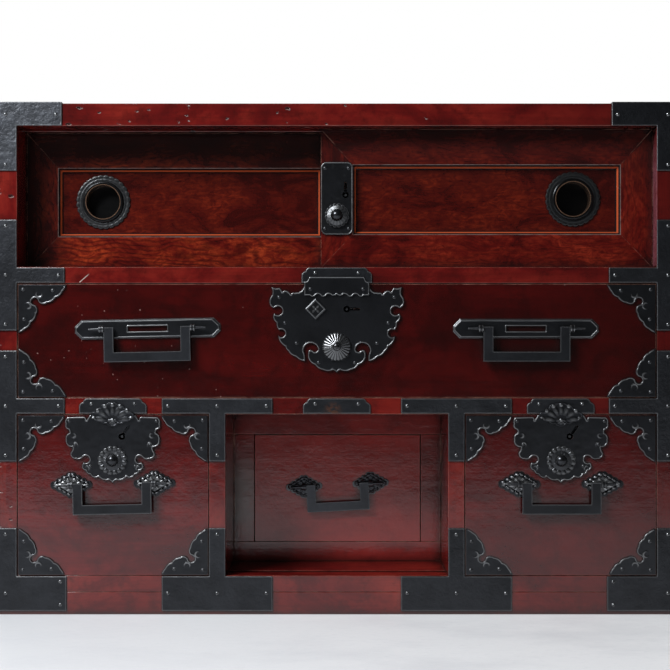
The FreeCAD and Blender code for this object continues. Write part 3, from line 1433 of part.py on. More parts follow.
def rosettes(handle, length, height):
    """Scalloped diamonds in two layers under the eyes of a handle."""
    shapes = []
    for x, z in handle.level_posts():
        seat = handle.drawer.face
        shank = rod(x, z, seat - 2 * ROSETTE_IRON, seat, SHANK_RADIUS)
        for share in (1.0, ROSETTE_INNER):
            half_x = share * length / 2
            half_z = share * height / 2
            corners = [(x, z - half_z), (x + half_x, z), (x, z + half_z), (x - half_x, z)]
            leaf = plate(scalloped(corners, ROSETTE_LOBES, ROSETTE_BULGE), seat, ROSETTE_IRON)
            shapes.append(leaf.cut(shank))
            seat -= ROSETTE_IRON
    return handle.tilted(shapes)


def handle_plate(handle):
    """Long back plate with clipped corners, a bevelled rim and a pierced slot."""
    x = handle.x
    z = handle.z
    face = handle.drawer.face
    front = face - HANDLE_PLATE_IRON
    step = front + HANDLE_PLATE_BEVEL
    x_span = grown((x, x), HANDLE_PLATE_LENGTH / 2)
    z_span = grown((z, z), HANDLE_PLATE_HEIGHT / 2)
    edge = rectangle(x_span, z_span, HANDLE_PLATE_CLIP)
    top_edge = rectangle(
        grown(x_span, -HANDLE_PLATE_BEVEL), grown(z_span, -HANDLE_PLATE_BEVEL), HANDLE_PLATE_CLIP
    )
    base = plate(edge, face, face - step)
    bevel = Part.makeLoft([outline(edge, step), outline(top_edge, front)], True)
    slot_x = grown((x, x), HANDLE_SLOT_LENGTH / 2)
    slot_z = grown((z, z), HANDLE_SLOT_HEIGHT / 2)
    cuts = [box(slot_x, (front, face), slot_z)]
    for post_x, post_z in handle.level_posts():
        cuts.append(rod(post_x, post_z, front, face, SHANK_RADIUS))
    return handle.tilted([base.fuse(bevel).removeSplitter().cut(cuts)])[0]


def bail(handle):
    """Square hanging handle whose pins point outward through the eyes."""
    half = handle.width / 2
    low = handle.z - handle.drop
    high = handle.z + PIN_RADIUS
    y = grown((handle.y, handle.y), BAIL_THICKNESS / 2)
    loop = box(grown((handle.x, handle.x), half), y, (low, high))
    loop = loop.cut(box(grown((handle.x, handle.x), half - BAIL_BAR), y, (low + BAIL_BAR, high)))
    pins = []
    for side in (-1, 1):
        arm = handle.x + side * half
        eye_end = arm + side * (2 * EYE_GAP + EYE_WIDTH)
        tip = eye_end + side * PIN_BEYOND_EYE
        pins.append(cross_rod(handle.y, handle.z, arm - side * BAIL_BAR / 2, eye_end, PIN_RADIUS))
        pins.append(cross_rod(handle.y, handle.z, eye_end, tip, PIN_RADIUS, PIN_TIP_RADIUS))
    return handle.tilted([loop.fuse(pins).removeSplitter()])[0]


# The nodes, one file each

def save_carcass():
    left_side, right_side = side_boards()
    left_partition, right_partition = partitions()
    save("top_board", top_board())
    save("bottom_board", bottom_board())
    save("side_board_left", left_side)
    save("side_board_right", right_side)
    save("back_boards", *back_boards())
    save("lower_shelf", lower_shelf())
    save("middle_shelf", middle_shelf())
    save("upper_shelf", upper_shelf())
    save("partition_left", left_partition)
    save("partition_right", right_partition)
    save("niche_frame", *niche_frame())
    save("niche_drawer_runners", *niche_runners())
    save("top_corner_plates", *top_corner_plates())
    save("base_corner_plates", *base_corner_plates())
    save("side_and_partition_plates", *side_plates(), *partition_plates())
    save("strike_plates", *strike_plates())
    save("carcass_nails", *carcass_nails())


def save_doors():
    save("rear_door_frame", *rear_door_frame())
    save("rear_door_panel", door_panel(-1, REAR_DOOR_FACE))
    save("rear_door_pull", door_pull(-1, REAR_DOOR_FACE))
    save("front_door_frame", *front_door_frame())
    save("front_door_panel", door_panel(1, FRONT_DOOR_FACE))
    save("front_door_pull", door_pull(1, FRONT_DOOR_FACE))
    save("door_lock_plate", *door_lock_plate())
    save("door_lock_case", door_lock_case())
    save("door_lock_button", door_lock_button())
    save("door_lock_bolt", box(*door_bolt_span()))


def save_long_drawer():
    drawer = LONG_DRAWER
    handles = (LONG_LEFT_HANDLE, LONG_RIGHT_HANDLE)
    lock = (LONG_BOSS_DROP, LONG_KEY_OFFSET, LONG_KEY_RISE)
    save("long_drawer_front", drawer_front(drawer, handles, lock + (LONG_KEY_ANGLE,)))
    save("long_drawer_box", *drawer_box(drawer))
    save("long_drawer_corners", *drawer_corners(drawer, LONG_CORNER_LEG, LONG_CORNER_LEG))
    save("long_lock_plate", *long_lock_plate(), *tab_nails())
    save("long_lock_case", lock_case(drawer, *lock))
    save("long_lock_button", long_lock_button())
    save("long_lock_bolt", lock_bolt(drawer, LONG_BOSS_DROP))
    save("long_handle_plates", *[handle_plate(handle) for handle in handles])
    save("long_handle_posts", *handle_posts(handles[0]), *handle_posts(handles[1]))
    save("long_handle_left", bail(LONG_LEFT_HANDLE))
    save("long_handle_right", bail(LONG_RIGHT_HANDLE))


def save_small_drawer(name, drawer, handle):
    lock = (SMALL_BOSS_DROP, SMALL_KEY_OFFSET, SMALL_KEY_RISE)
    leaves = rosettes(handle, ROSETTE_LENGTH, ROSETTE_HEIGHT)
    save(name + "_drawer_front", drawer_front(drawer, [handle], lock + (SMALL_KEY_ANGLE,)))
    save(name + "_drawer_box", *drawer_box(drawer))
    save(name + "_drawer_corners", *drawer_corners(drawer, SMALL_CORNER_REACH, SMALL_CORNER_LEG))
    save(name + "_lock_plate", *small_lock_plate(drawer))
    save(name + "_lock_case", lock_case(drawer, *lock))
    save(name + "_lock_button", small_lock_button(drawer))
    save(name + "_lock_bolt", lock_bolt(drawer, SMALL_BOSS_DROP))
    save(name + "_handle_mounts", *leaves, *handle_posts(handle))
    save(name + "_handle", bail(handle))


def save_niche_drawer():
    leaves = rosettes(NICHE_HANDLE, NICHE_ROSETTE_LENGTH, NICHE_ROSETTE_HEIGHT)
    save("niche_drawer_front", drawer_front(NICHE_DRAWER, [NICHE_HANDLE]))
    save("niche_drawer_box", *drawer_box(NICHE_DRAWER))
    save("niche_handle_mounts", *leaves, *handle_posts(NICHE_HANDLE))
    save("niche_handle", bail(NICHE_HANDLE))


os.makedirs("parts", exist_ok=True)
save_carcass()
save_doors()
save_long_drawer()
save_small_drawer("left", LEFT_DRAWER, LEFT_HANDLE)
save_small_drawer("right", RIGHT_DRAWER, RIGHT_HANDLE)
save_niche_drawer()
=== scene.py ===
"""Small tansu chest: lacquer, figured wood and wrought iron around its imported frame.

Lengths in the mesh code are metres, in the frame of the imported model. Sizes of the
ironwork are millimetres, as a smith would give them, and turn into metres where a
mesh is made.
"""

import json
import math

import bpy
import numpy as np
from bpy.props import FloatProperty, FloatVectorProperty, IntProperty, PointerProperty
from bpy.types import Operator, Panel, PropertyGroup
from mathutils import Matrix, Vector
from mathutils.geometry import delaunay_2d_cdt

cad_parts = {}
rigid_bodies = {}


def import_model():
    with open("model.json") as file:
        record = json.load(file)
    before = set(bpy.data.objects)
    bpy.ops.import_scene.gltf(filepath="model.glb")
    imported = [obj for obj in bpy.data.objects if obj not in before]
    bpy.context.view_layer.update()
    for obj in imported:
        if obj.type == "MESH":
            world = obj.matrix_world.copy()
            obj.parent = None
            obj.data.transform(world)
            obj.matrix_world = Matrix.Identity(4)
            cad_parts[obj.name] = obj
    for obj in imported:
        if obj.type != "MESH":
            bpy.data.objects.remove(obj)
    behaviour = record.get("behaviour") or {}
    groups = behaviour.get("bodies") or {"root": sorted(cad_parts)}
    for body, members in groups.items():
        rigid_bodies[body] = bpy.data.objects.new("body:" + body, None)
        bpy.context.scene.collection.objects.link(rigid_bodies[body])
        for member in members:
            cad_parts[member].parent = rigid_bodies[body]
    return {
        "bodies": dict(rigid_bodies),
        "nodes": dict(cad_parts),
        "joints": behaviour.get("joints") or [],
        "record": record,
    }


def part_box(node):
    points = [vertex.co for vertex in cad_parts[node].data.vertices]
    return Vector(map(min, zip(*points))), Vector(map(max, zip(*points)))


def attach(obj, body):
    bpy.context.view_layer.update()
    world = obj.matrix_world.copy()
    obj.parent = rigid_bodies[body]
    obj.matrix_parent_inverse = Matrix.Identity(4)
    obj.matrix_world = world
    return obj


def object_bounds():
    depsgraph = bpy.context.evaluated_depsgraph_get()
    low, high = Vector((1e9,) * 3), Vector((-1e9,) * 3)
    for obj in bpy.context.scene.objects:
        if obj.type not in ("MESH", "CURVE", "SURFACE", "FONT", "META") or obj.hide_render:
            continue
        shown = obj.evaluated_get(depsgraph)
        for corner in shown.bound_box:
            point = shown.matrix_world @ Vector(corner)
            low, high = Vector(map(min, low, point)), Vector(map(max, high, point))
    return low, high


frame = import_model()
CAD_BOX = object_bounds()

bl_info = {
    "name": "Small Tansu Chest",
    "version": (1, 0, 0),
    "blender": (4, 5, 0),
    "location": "View3D > Sidebar > Tansu",
    "description": "Finishes and ironwork of a small lacquered chest with sliding doors and drawers",
    "category": "Object",
}

# Millimetres to metres and back
MM = 0.001
TO_MM = 1000

NODES = frame["nodes"]

# How far a door's panel reaches into the groove of its frame
PANEL_LAP = 1.7 * MM

# How far the flat faces of the iron stand in front of the wood behind them
LOCK_PLATE = 1.8 * MM
LOCK_LAYER = 3.3 * MM
CORNER_PLATE = 1.5 * MM
HANDLE_MOUNT = 1.2 * MM

# How far the flange of a finger pull lies behind the face of its door's frame
PULL_FLANGE = (6.0 - 1.2) * MM

# Meshes of worked iron: rows of points along a rim, and in millimetres a relief's least
# thickness, a ring's at its outer edge, the nearness at which two points of a net become
# one, and a distance that stands for no hole
RIM_ROWS = 8
SKIN = 0.03
RING_EDGE = 0.02
NEARNESS = 1e-5
NO_HOLE = 1000.0

# Boards of the carcass, by the way their grain runs
LEVEL_BOARDS = ("top_board", "bottom_board", "lower_shelf", "middle_shelf", "upper_shelf")
UPRIGHT_BOARDS = ("side_board_left", "side_board_right", "partition_left", "partition_right")
DRAWERS = ("long_drawer", "left_drawer", "right_drawer", "niche_drawer")
INSIDE_WOOD = ("niche_drawer_runners",) + tuple(name + "_box" for name in DRAWERS)
CARCASS_IRON = ("top_corner_plates", "base_corner_plates", "side_and_partition_plates")
HANDLES = ("long_handle_left", "long_handle_right", "left_handle", "right_handle", "niche_handle")
LOCKS = ("long_lock", "left_lock", "right_lock", "door_lock")
DOORS = ("rear_door", "front_door")


# Settings

def colour(label, value):
    return FloatVectorProperty(
        name=label, description=label, subtype="COLOR", size=3, min=0.0, max=1.0, default=value
    )


def length(label, value, low=0.0, high=100.0):
    return FloatProperty(
        name=label, description=label + ", in millimetres", default=value, min=low, max=high
    )


def whole_number(label, description, value, low, high):
    return IntProperty(name=label, description=description, default=value, min=low, max=high)


class TansuFinish(PropertyGroup):
    """Colours and wear of the chest's woods and metals."""

    carcass_red: colour("Old red lacquer of the carcass", (0.105, 0.0048, 0.0042))
    carcass_bright: colour("Red lacquer where it has thinned", (0.22, 0.019, 0.011))
    carcass_dark: colour("Dark streaks of the carcass", (0.034, 0.0024, 0.0022))
    long_red: colour("Red lacquer of the long drawer", (0.036, 0.0013, 0.0012))
    long_bright: colour("Bright clouds of the long drawer", (0.064, 0.0026, 0.0022))
    long_dark: colour("Dark clouds of the long drawer", (0.014, 0.0012, 0.0011))
    drawer_red: colour("Red lacquer of the small drawers", (0.080, 0.0040, 0.0040))
    drawer_bright: colour("Bright clouds of the small drawers", (0.150, 0.0090, 0.0080))
    drawer_dark: colour("Dark clouds of the small drawers", (0.040, 0.0030, 0.0030))
    # Painted light: the niche's colours are brighter than the other lacquer, standing in for light that the
    # niche's shade keeps out
    niche_painted_light_red: colour("Lacquer inside the niche", (0.31, 0.026, 0.022))
    niche_painted_light_dark: colour("Dark clouds of the niche", (0.21, 0.019, 0.017))
    door_red: colour("Ground colour of the doors", (0.080, 0.0042, 0.0032))
    door_dark: colour("Dark rings of the doors' figure", (0.014, 0.0018, 0.0015))
    door_flame: colour("Bright figure of the doors", (0.33, 0.040, 0.011))
    moulding: colour("Bright slopes around the doors' panels", (0.34, 0.060, 0.020))
    arris_grey: colour("Greyed edges around the doors' openings", (0.16, 0.13, 0.12))
    front_red: colour("Ground colour of the front door's frame", (0.070, 0.0036, 0.0030))
    front_flame: colour("Bright figure of the front door's frame", (0.22, 0.020, 0.0085))
    panel_red: colour("Ground colour of the doors' panels", (0.042, 0.0028, 0.0022))
    panel_flame: colour("Bright figure of the doors' panels", (0.135, 0.013, 0.0052))
    moulding_black: colour("Black fillet around the doors' panels", (0.006, 0.006, 0.007))
    worn_edge: colour("Edges where the lacquer has worn off", (0.50, 0.27, 0.20))
    # Painted highlight: the pale lips on the lower side of the worm holes
    pit_lip_highlight: colour("Pale lower lips of the worm holes", (0.36, 0.30, 0.28))
    scratch: colour("Fresh scratch", (0.62, 0.52, 0.47))
    # Painted highlight: a pale strip on the right side board's inner face beside the front door
    reveal: colour("Faded lacquer beside the front door", (0.15, 0.046, 0.058))
    fleck: colour("Chipped flecks of the long drawer", (0.30, 0.20, 0.18))
    pit: colour("Worm holes and dents", (0.010, 0.006, 0.005))
    shade_and_grime: colour("Old grime beside the ironwork", (0.010, 0.0055, 0.0052))
    bare_wood: colour("Bare softwood", (0.42, 0.27, 0.15))
    # Dirt and painted shade: darkens corners, the lacquer beside the ironwork, and the doors' upper and left
    # parts
    bare_grain: colour("Grain lines of the bare wood", (0.25, 0.135, 0.065))
    seam: colour("Seams between the back boards", (0.035, 0.020, 0.012))
    iron: colour("Blackened iron", (0.029, 0.031, 0.036))
    iron_pale: colour("Iron rubbed on its edges", (0.44, 0.45, 0.46))
    # Painted sheen: the plates near the upper left corner, where the light grazes them, are painted paler
    iron_grey: colour("Greyed iron in the upper left corner", (0.060, 0.065, 0.075))
    cup_black: colour("Inside of the finger pulls", (0.007, 0.007, 0.008))
    copper: colour("Coppery wear on the pulls", (0.62, 0.36, 0.23))
    rust: colour("Rust on the strike plate over the niche", (0.16, 0.065, 0.035))
    floor: colour("Pale floor", (0.635, 0.645, 0.665))
    floor_pale: colour("Paler part of the floor", (0.92, 0.92, 0.93))
    floor_grey: colour("Grey clouds of the floor", (0.60, 0.61, 0.64))
    # Painted light: the niche frame's colours are brightened in the same way
    niche_frame_painted_light_red: colour("Ground colour of the niche's frame", (0.20, 0.017, 0.015))
    niche_frame_painted_light_dark: colour("Dark clouds of the niche's frame", (0.11, 0.012, 0.011))
    # Painted reflection of the floor, greyish, on the niche's left upright
    niche_reflection_grey: colour("Greyed lacquer on the niche's left upright", (0.19, 0.145, 0.135))
    pitting: FloatProperty(
        name="Pitting", description="Depth of colour of the worm holes", default=0.8, min=0.0, max=1.0
    )
    wood_edge: length("Rounding of the boards' edges", 0.7, 0.1, 3.0)
    iron_edge: length("Rounding of the iron plates' edges", 0.9, 0.05, 1.2)


class TansuIronwork(PropertyGroup):
    """Sizes of the worked relief on the iron fittings."""

    mesh_step: length("Spacing of the relief's points", 0.62, 0.3, 2.0)
    rim_width: length("Width of the rolled edge of a lock plate", 1.5, 0.5, 6.0)
    rim_height: length("Height of that edge", 0.8, 0.1, 1.5)
    corner_rim_width: length("Width of the rolled edge of a corner plate", 1.4, 0.5, 6.0)
    corner_rim_height: length("Height of that edge", 0.6, 0.1, 1.5)
    hammer_depth: length("Depth of the hammer marks", 0.09, 0.0, 0.4)
    hammer_size: length("Size of the hammer marks", 4.2, 1.0, 20.0)
    boss_flutes: whole_number("Petals of the boss", "Petals of the long lock's boss", 24, 8, 40)
    flute_height: length("Height of those petals", 0.85, 0.1, 2.0)
    ring_beads: whole_number("Beads around a button", "Beads around a push button", 16, 8, 32)
    pull_beads: whole_number("Beads on a pull", "Beads around a finger pull's flange", 28, 8, 48)


class TansuStage(PropertyGroup):
    """Camera, window light and brightness of the room."""

    camera_place: FloatVectorProperty(
        name="Camera",
        description="Place of the camera",
        subtype="TRANSLATION",
        default=(0.0087, -1.49, 0.2596),
    )
    lens: FloatProperty(name="Lens", description="Focal length, in millimetres", default=65.51, min=10.0)
    shift_x: FloatProperty(name="Shift X", description="Sideways shift of the lens", default=-0.0149)
    shift_y: FloatProperty(name="Shift Y", description="Upward shift of the lens", default=0.0537)
    key_power: FloatProperty(
        name="Key", description="Power of the window light", default=47.0, subtype="POWER"
    )
    key_size: FloatProperty(
        name="Key size", description="Width of the window light", default=0.7, subtype="DISTANCE"
    )
    ambient: FloatProperty(
        name="Ambient", description="Brightness of the room", default=0.14, min=0.0, max=2.0
    )
    room: FloatProperty(
        name="Room in gloss",
        description="Brightness of the room in front, in reflections",
        default=0.035,
        min=0.0,
    )


# Materials

class Finish:
    """One material and short calls that add nodes to it."""

    def __init__(self, name):
        self.material = bpy.data.materials.new(name)
        self.material.use_nodes = True
        self.tree = self.material.node_tree
        self.tree.nodes.clear()
        output = self.add("ShaderNodeOutputMaterial")
        self.surface = self.add("ShaderNodeBsdfPrincipled")
        self.tree.links.new(self.surface.outputs[0], output.inputs["Surface"])
        self.place = self.add("ShaderNodeTexCoord").outputs["Object"]
        self.axes = self.add("ShaderNodeSeparateXYZ", self.place).outputs

    def add(self, kind, *values, **settings):
        """New node, with settings on it and its first inputs linked or set."""
        node = self.tree.nodes.new(kind)
        for name, value in settings.items():
            setattr(node, name, value)
        for index, value in enumerate(values):
            self.put(node.inputs[index], value)
        return node

    def put(self, socket, value):
        if isinstance(value, bpy.types.NodeSocket):
            self.tree.links.new(value, socket)
        elif value is not None:
            socket.default_value = value

    def set(self, **values):
        """Values of the surface's own sockets."""
        for name, value in values.items():
            if not isinstance(value, (float, int, bpy.types.NodeSocket)):
                value = (*value, 1.0)
            self.put(self.surface.inputs[name.replace("_", " ").title().replace("Ior", "IOR")], value)

    def clear_coat(self, roughness, ior, normal):
        """A full coat of clear lacquer, which gives all of the surface's gloss."""
        self.set(coat_weight=1.0, coat_roughness=roughness, coat_ior=ior, coat_normal=normal)
        self.set(specular_ior_level=0.0)

    def math(self, operation, *values):
        return self.add("ShaderNodeMath", *values, operation=operation).outputs[0]

    def times(self, *values):
        """Product of two or more shares."""
        product = values[0]
        for value in values[1:]:
            product = self.math("MULTIPLY", product, value)
        return product

    def off(self, value, centre):
        """How far a value is from a centre, either way."""
        return self.math("ABSOLUTE", self.math("SUBTRACT", value, centre))

    def mix(self, share, low, high):
        """Colour between two colours."""
        node = self.add("ShaderNodeMix", data_type="RGBA")
        self.put(node.inputs[0], share)
        for index, value in ((6, low), (7, high)):
            self.put(node.inputs[index], value if isinstance(value, bpy.types.NodeSocket) else (*value, 1.0))
        return node.outputs[2]

    def span(self, value, low, high, start=0.0, end=1.0):
        """The value mapped from one range to another, and kept inside it."""
        return self.add("ShaderNodeMapRange", value, low, high, start, end).outputs[0]

    def scaled(self, scale, vector=None):
        """Coordinates stretched by their own scale on each axis."""
        node = self.add("ShaderNodeVectorMath", vector or self.place, scale, operation="MULTIPLY")
        return node.outputs[0]

    def noise(self, scale, detail=3.0, roughness=0.55, bend=0.0, vector=None):
        """Cloudy noise with features 1 / scale metres long on each axis."""
        node = self.add("ShaderNodeTexNoise")
        self.put(node.inputs["Vector"], self.scaled(scale, vector))
        self.put(node.inputs["Scale"], 1.0)
        self.put(node.inputs["Detail"], detail)
        self.put(node.inputs["Roughness"], roughness)
        self.put(node.inputs["Distortion"], bend)
        return node.outputs[0]

    def random_spots(self, scale, rare, size, shift=(0.0, 0.0, 0.0)):
        """1 inside a spot in some of the cells, fewer as rare nears 1, and up to a size."""
        node = self.add("ShaderNodeTexVoronoi")
        shifted = self.add("ShaderNodeVectorMath", self.place, shift, operation="ADD").outputs[0]
        self.put(node.inputs["Vector"], self.scaled(scale, shifted))
        self.put(node.inputs["Scale"], 1.0)
        draws = self.add("ShaderNodeSeparateColor", node.outputs["Color"]).outputs
        chosen = self.math("GREATER_THAN", draws[0], rare)
        wobble = self.noise((300.0,) * 3, 2.0)
        away = self.math("ADD", node.outputs["Distance"], self.span(wobble, 0.3, 0.7, -0.1, 0.1))
        reach = self.span(draws[1], 0.0, 1.0, 0.45 * size, size)
        return self.times(chosen, self.span(self.math("SUBTRACT", reach, away), 0.0, 0.2 * size))

    def edges(self, radius, sharpness=7.0):
        """1 on edges that stand out, falling to 0 within the radius."""
        bevel = self.add("ShaderNodeBevel", radius, samples=6).outputs[0]
        normal = self.add("ShaderNodeNewGeometry").outputs["Normal"]
        facing = self.add("ShaderNodeVectorMath", bevel, normal, operation="DOT_PRODUCT").outputs["Value"]
        return self.span(self.math("SUBTRACT", 1.0, facing), 0.0, 1.0 / sharpness)

    def rubbed(self):
        """Share of wear stored on the points of the worked iron's meshes."""
        return self.add("ShaderNodeAttribute", attribute_name="rubbed").outputs["Fac"]

    def shade_and_grime(self, distance):
        """Painted shade with dirt: 1 in corners and close beside whatever stands on the surface, where shade
        falls, falling to 0.
        """
        node = self.add("ShaderNodeAmbientOcclusion", samples=8)
        self.put(node.inputs["Distance"], distance)
        return self.span(node.outputs["AO"], 0.92, 0.45)

    def facing_y(self):
        """1 on faces that look to the front or the back."""
        normal = self.add("ShaderNodeTexCoord").outputs["Normal"]
        depth = self.add("ShaderNodeSeparateXYZ", normal).outputs[1]
        return self.span(self.math("ABSOLUTE", depth), 0.5, 0.7)

    def blend(self, share, low, high):
        """Number between two numbers."""
        return self.math("ADD", low, self.times(share, self.math("SUBTRACT", high, low)))

    def near(self, x, z, low, high):
        """1 where a place is nearer to (x, z) than the low distance, and 0 beyond the high one."""
        across = self.math("SUBTRACT", self.axes[0], x)
        up = self.math("SUBTRACT", self.axes[2], z)
        away = self.math("SQRT", self.math("ADD", self.times(across, across), self.times(up, up)))
        return self.span(away, low, high, 1.0, 0.0)

    def scratch(self, start, end, width):
        """1 on a straight scratch between two places (x, z), fading towards its end."""
        length = math.dist(start, end)
        way_x, way_z = (end[0] - start[0]) / length, (end[1] - start[1]) / length
        across = self.math("SUBTRACT", self.axes[0], start[0])
        up = self.math("SUBTRACT", self.axes[2], start[1])
        run = self.math("ADD", self.times(across, way_x), self.times(up, way_z))
        gap = self.math("SUBTRACT", self.times(across, way_z), self.times(up, way_x))
        line = self.span(self.math("ABSOLUTE", gap), width, 0.4 * width)
        within = self.times(self.span(run, 0.0, width), self.span(run, length, 0.7 * length))
        return self.times(line, within)

    def bump(self, *layers):
        """Normal from (height, depth in metres) layers, each 0 to 1."""
        normal = None
        for height, depth in layers:
            node = self.add("ShaderNodeBump")
            self.put(node.inputs["Strength"], 1.0)
            self.put(node.inputs["Distance"], depth)
            self.put(node.inputs["Height"], height)
            self.put(node.inputs["Normal"], normal)
            normal = node.outputs[0]
        return normal


def along(grain, fine, coarse):
    """Noise scale with long features on the grain's axis and short ones across it."""
    scale = [coarse] * 3
    scale["XYZ".index(grain)] = fine
    return scale


def lacquered_board(
    name, grain, red, bright, dark,
    pits=0.0, edge_radius=1.0, scratches=(), flecks=None, greyed=None, shaded=None,
):
    """Red lacquer over a board: clouded, darker beside the ironwork and in corners with dirt and painted
    shade, worn on its edges.

    Chipped flecks gather around a place (x, z, reach), and a painted reflection, greyish, around another.
    A scratch is (start, end, width, colour). The board is painted darker rightwards, as painted shade away
    from the light on the left, and, where shaded is given, darker upwards from one height to another, as
    painted shade. The pits' depth of colour is a share, and they thin out rightwards; their pale lower lips
    are a painted highlight.
    """
    finish = Finish(name)
    look = bpy.context.scene.tansu_finish
    cloud = finish.noise(along(grain, 8.0, 15.0), 5.0, 0.64, 0.5)
    blotch = finish.noise((42.0,) * 3, 4.0, 0.68)
    streak = finish.noise(along(grain, 6.0, 150.0), 4.0, 0.6, 0.15)
    hair = finish.noise(along(grain, 24.0, 800.0), 3.0, 0.6)
    # Painted light falloff: the bright clouds thin out rightwards, away from the light on the left
    rightwards = finish.span(finish.axes[0], 0.1, 0.34, 1.0, 0.35)
    tone = finish.mix(finish.times(finish.span(cloud, 0.47, 0.70, 0.0, 0.85), rightwards), red, bright)
    darker = [
        finish.span(cloud, 0.50, 0.34, 0.0, 0.8),
        # Painted shade: darker rightwards, away from the light on the left
        finish.span(finish.axes[0], 0.14, 0.36, 0.0, 0.5),
        finish.span(blotch, 0.48, 0.66, 0.0, 0.6),
        finish.span(streak, 0.47, 0.68, 0.0, 0.35),
        finish.span(hair, 0.56, 0.7, 0.0, 0.3),
    ]
    # Painted shade: darker upwards between the given heights
    if shaded:
        darker.append(finish.span(finish.axes[2], *shaded, 0.0, 0.6))
    for share in darker:
        tone = finish.mix(share, tone, dark)
    # Painted reflection: a greyish patch around a place, standing in for the floor's reflection in the
    # lacquer
    if greyed:
        x, z, reach = greyed
        grey = finish.times(finish.near(x, z, 0.5 * reach, reach), finish.span(blotch, 0.3, 0.5, 0.5, 0.95))
        tone = finish.mix(grey, tone, look.niche_reflection_grey)
    # Painted shade with dirt, in corners and close beside the ironwork
    tone = finish.mix(finish.times(finish.shade_and_grime(12 * MM), 0.8), tone, look.shade_and_grime)
    rub = finish.noise((70.0,) * 3, 4.0, 0.7)
    edge = finish.edges(edge_radius * MM)
    worn = finish.times(edge, finish.span(rub, 0.38, 0.58, 0.2, 1.0))
    tone = finish.mix(finish.times(worn, 0.75), tone, look.worn_edge)
    layers = [(finish.noise((9.0,) * 3, 2.0), 0.9 * MM), (streak, 0.08 * MM), (rub, 0.25 * MM)]
    if flecks:
        x, z, reach = flecks
        rare = finish.span(finish.near(x, z, 0.2 * reach, reach), 0.0, 1.0, 0.985, 0.80)
        fleck = finish.random_spots(along(grain, 210.0, 240.0), rare, 0.22)
        tone = finish.mix(finish.times(fleck, 0.55), tone, look.fleck)
    for *line, bared in scratches:
        share = finish.times(finish.scratch(*line), finish.span(rub, 0.36, 0.6, 0.45, 1.0))
        tone = finish.mix(share, tone, bared)
    if pits:
        rare = finish.span(finish.axes[0], -0.33, 0.25, 0.70, 0.95)
        cells = along("X", 95.0, 210.0)
        hole = finish.random_spots(cells, rare, 0.33)
        # Painted highlight: a pale lip on the lower side of each pit only, where its wall would catch the
        # light
        lip = finish.random_spots(cells, rare, 0.33, (-0.7 * MM, 0.0, 0.8 * MM))
        lip = finish.times(lip, finish.math("SUBTRACT", 1.0, hole))
        ragged = finish.span(finish.noise((95.0,) * 3, 3.0, 0.6), 0.55, 0.61)
        bite = finish.times(edge, ragged)
        tone = finish.mix(finish.times(lip, 0.6 * pits), tone, look.pit_lip_highlight)
        tone = finish.mix(finish.times(hole, pits), tone, look.pit)
        tone = finish.mix(finish.times(bite, pits), tone, look.pit)
        sunk = finish.math("MAXIMUM", hole, bite)
        layers.append((finish.math("SUBTRACT", 1.0, sunk), 0.9 * MM * pits))
    normal = finish.bump(*layers)
    finish.set(base_color=tone, roughness=finish.span(rub, 0.3, 0.75, 0.34, 0.5), normal=normal)
    finish.clear_coat(0.15, 1.6, normal)
    return finish.material


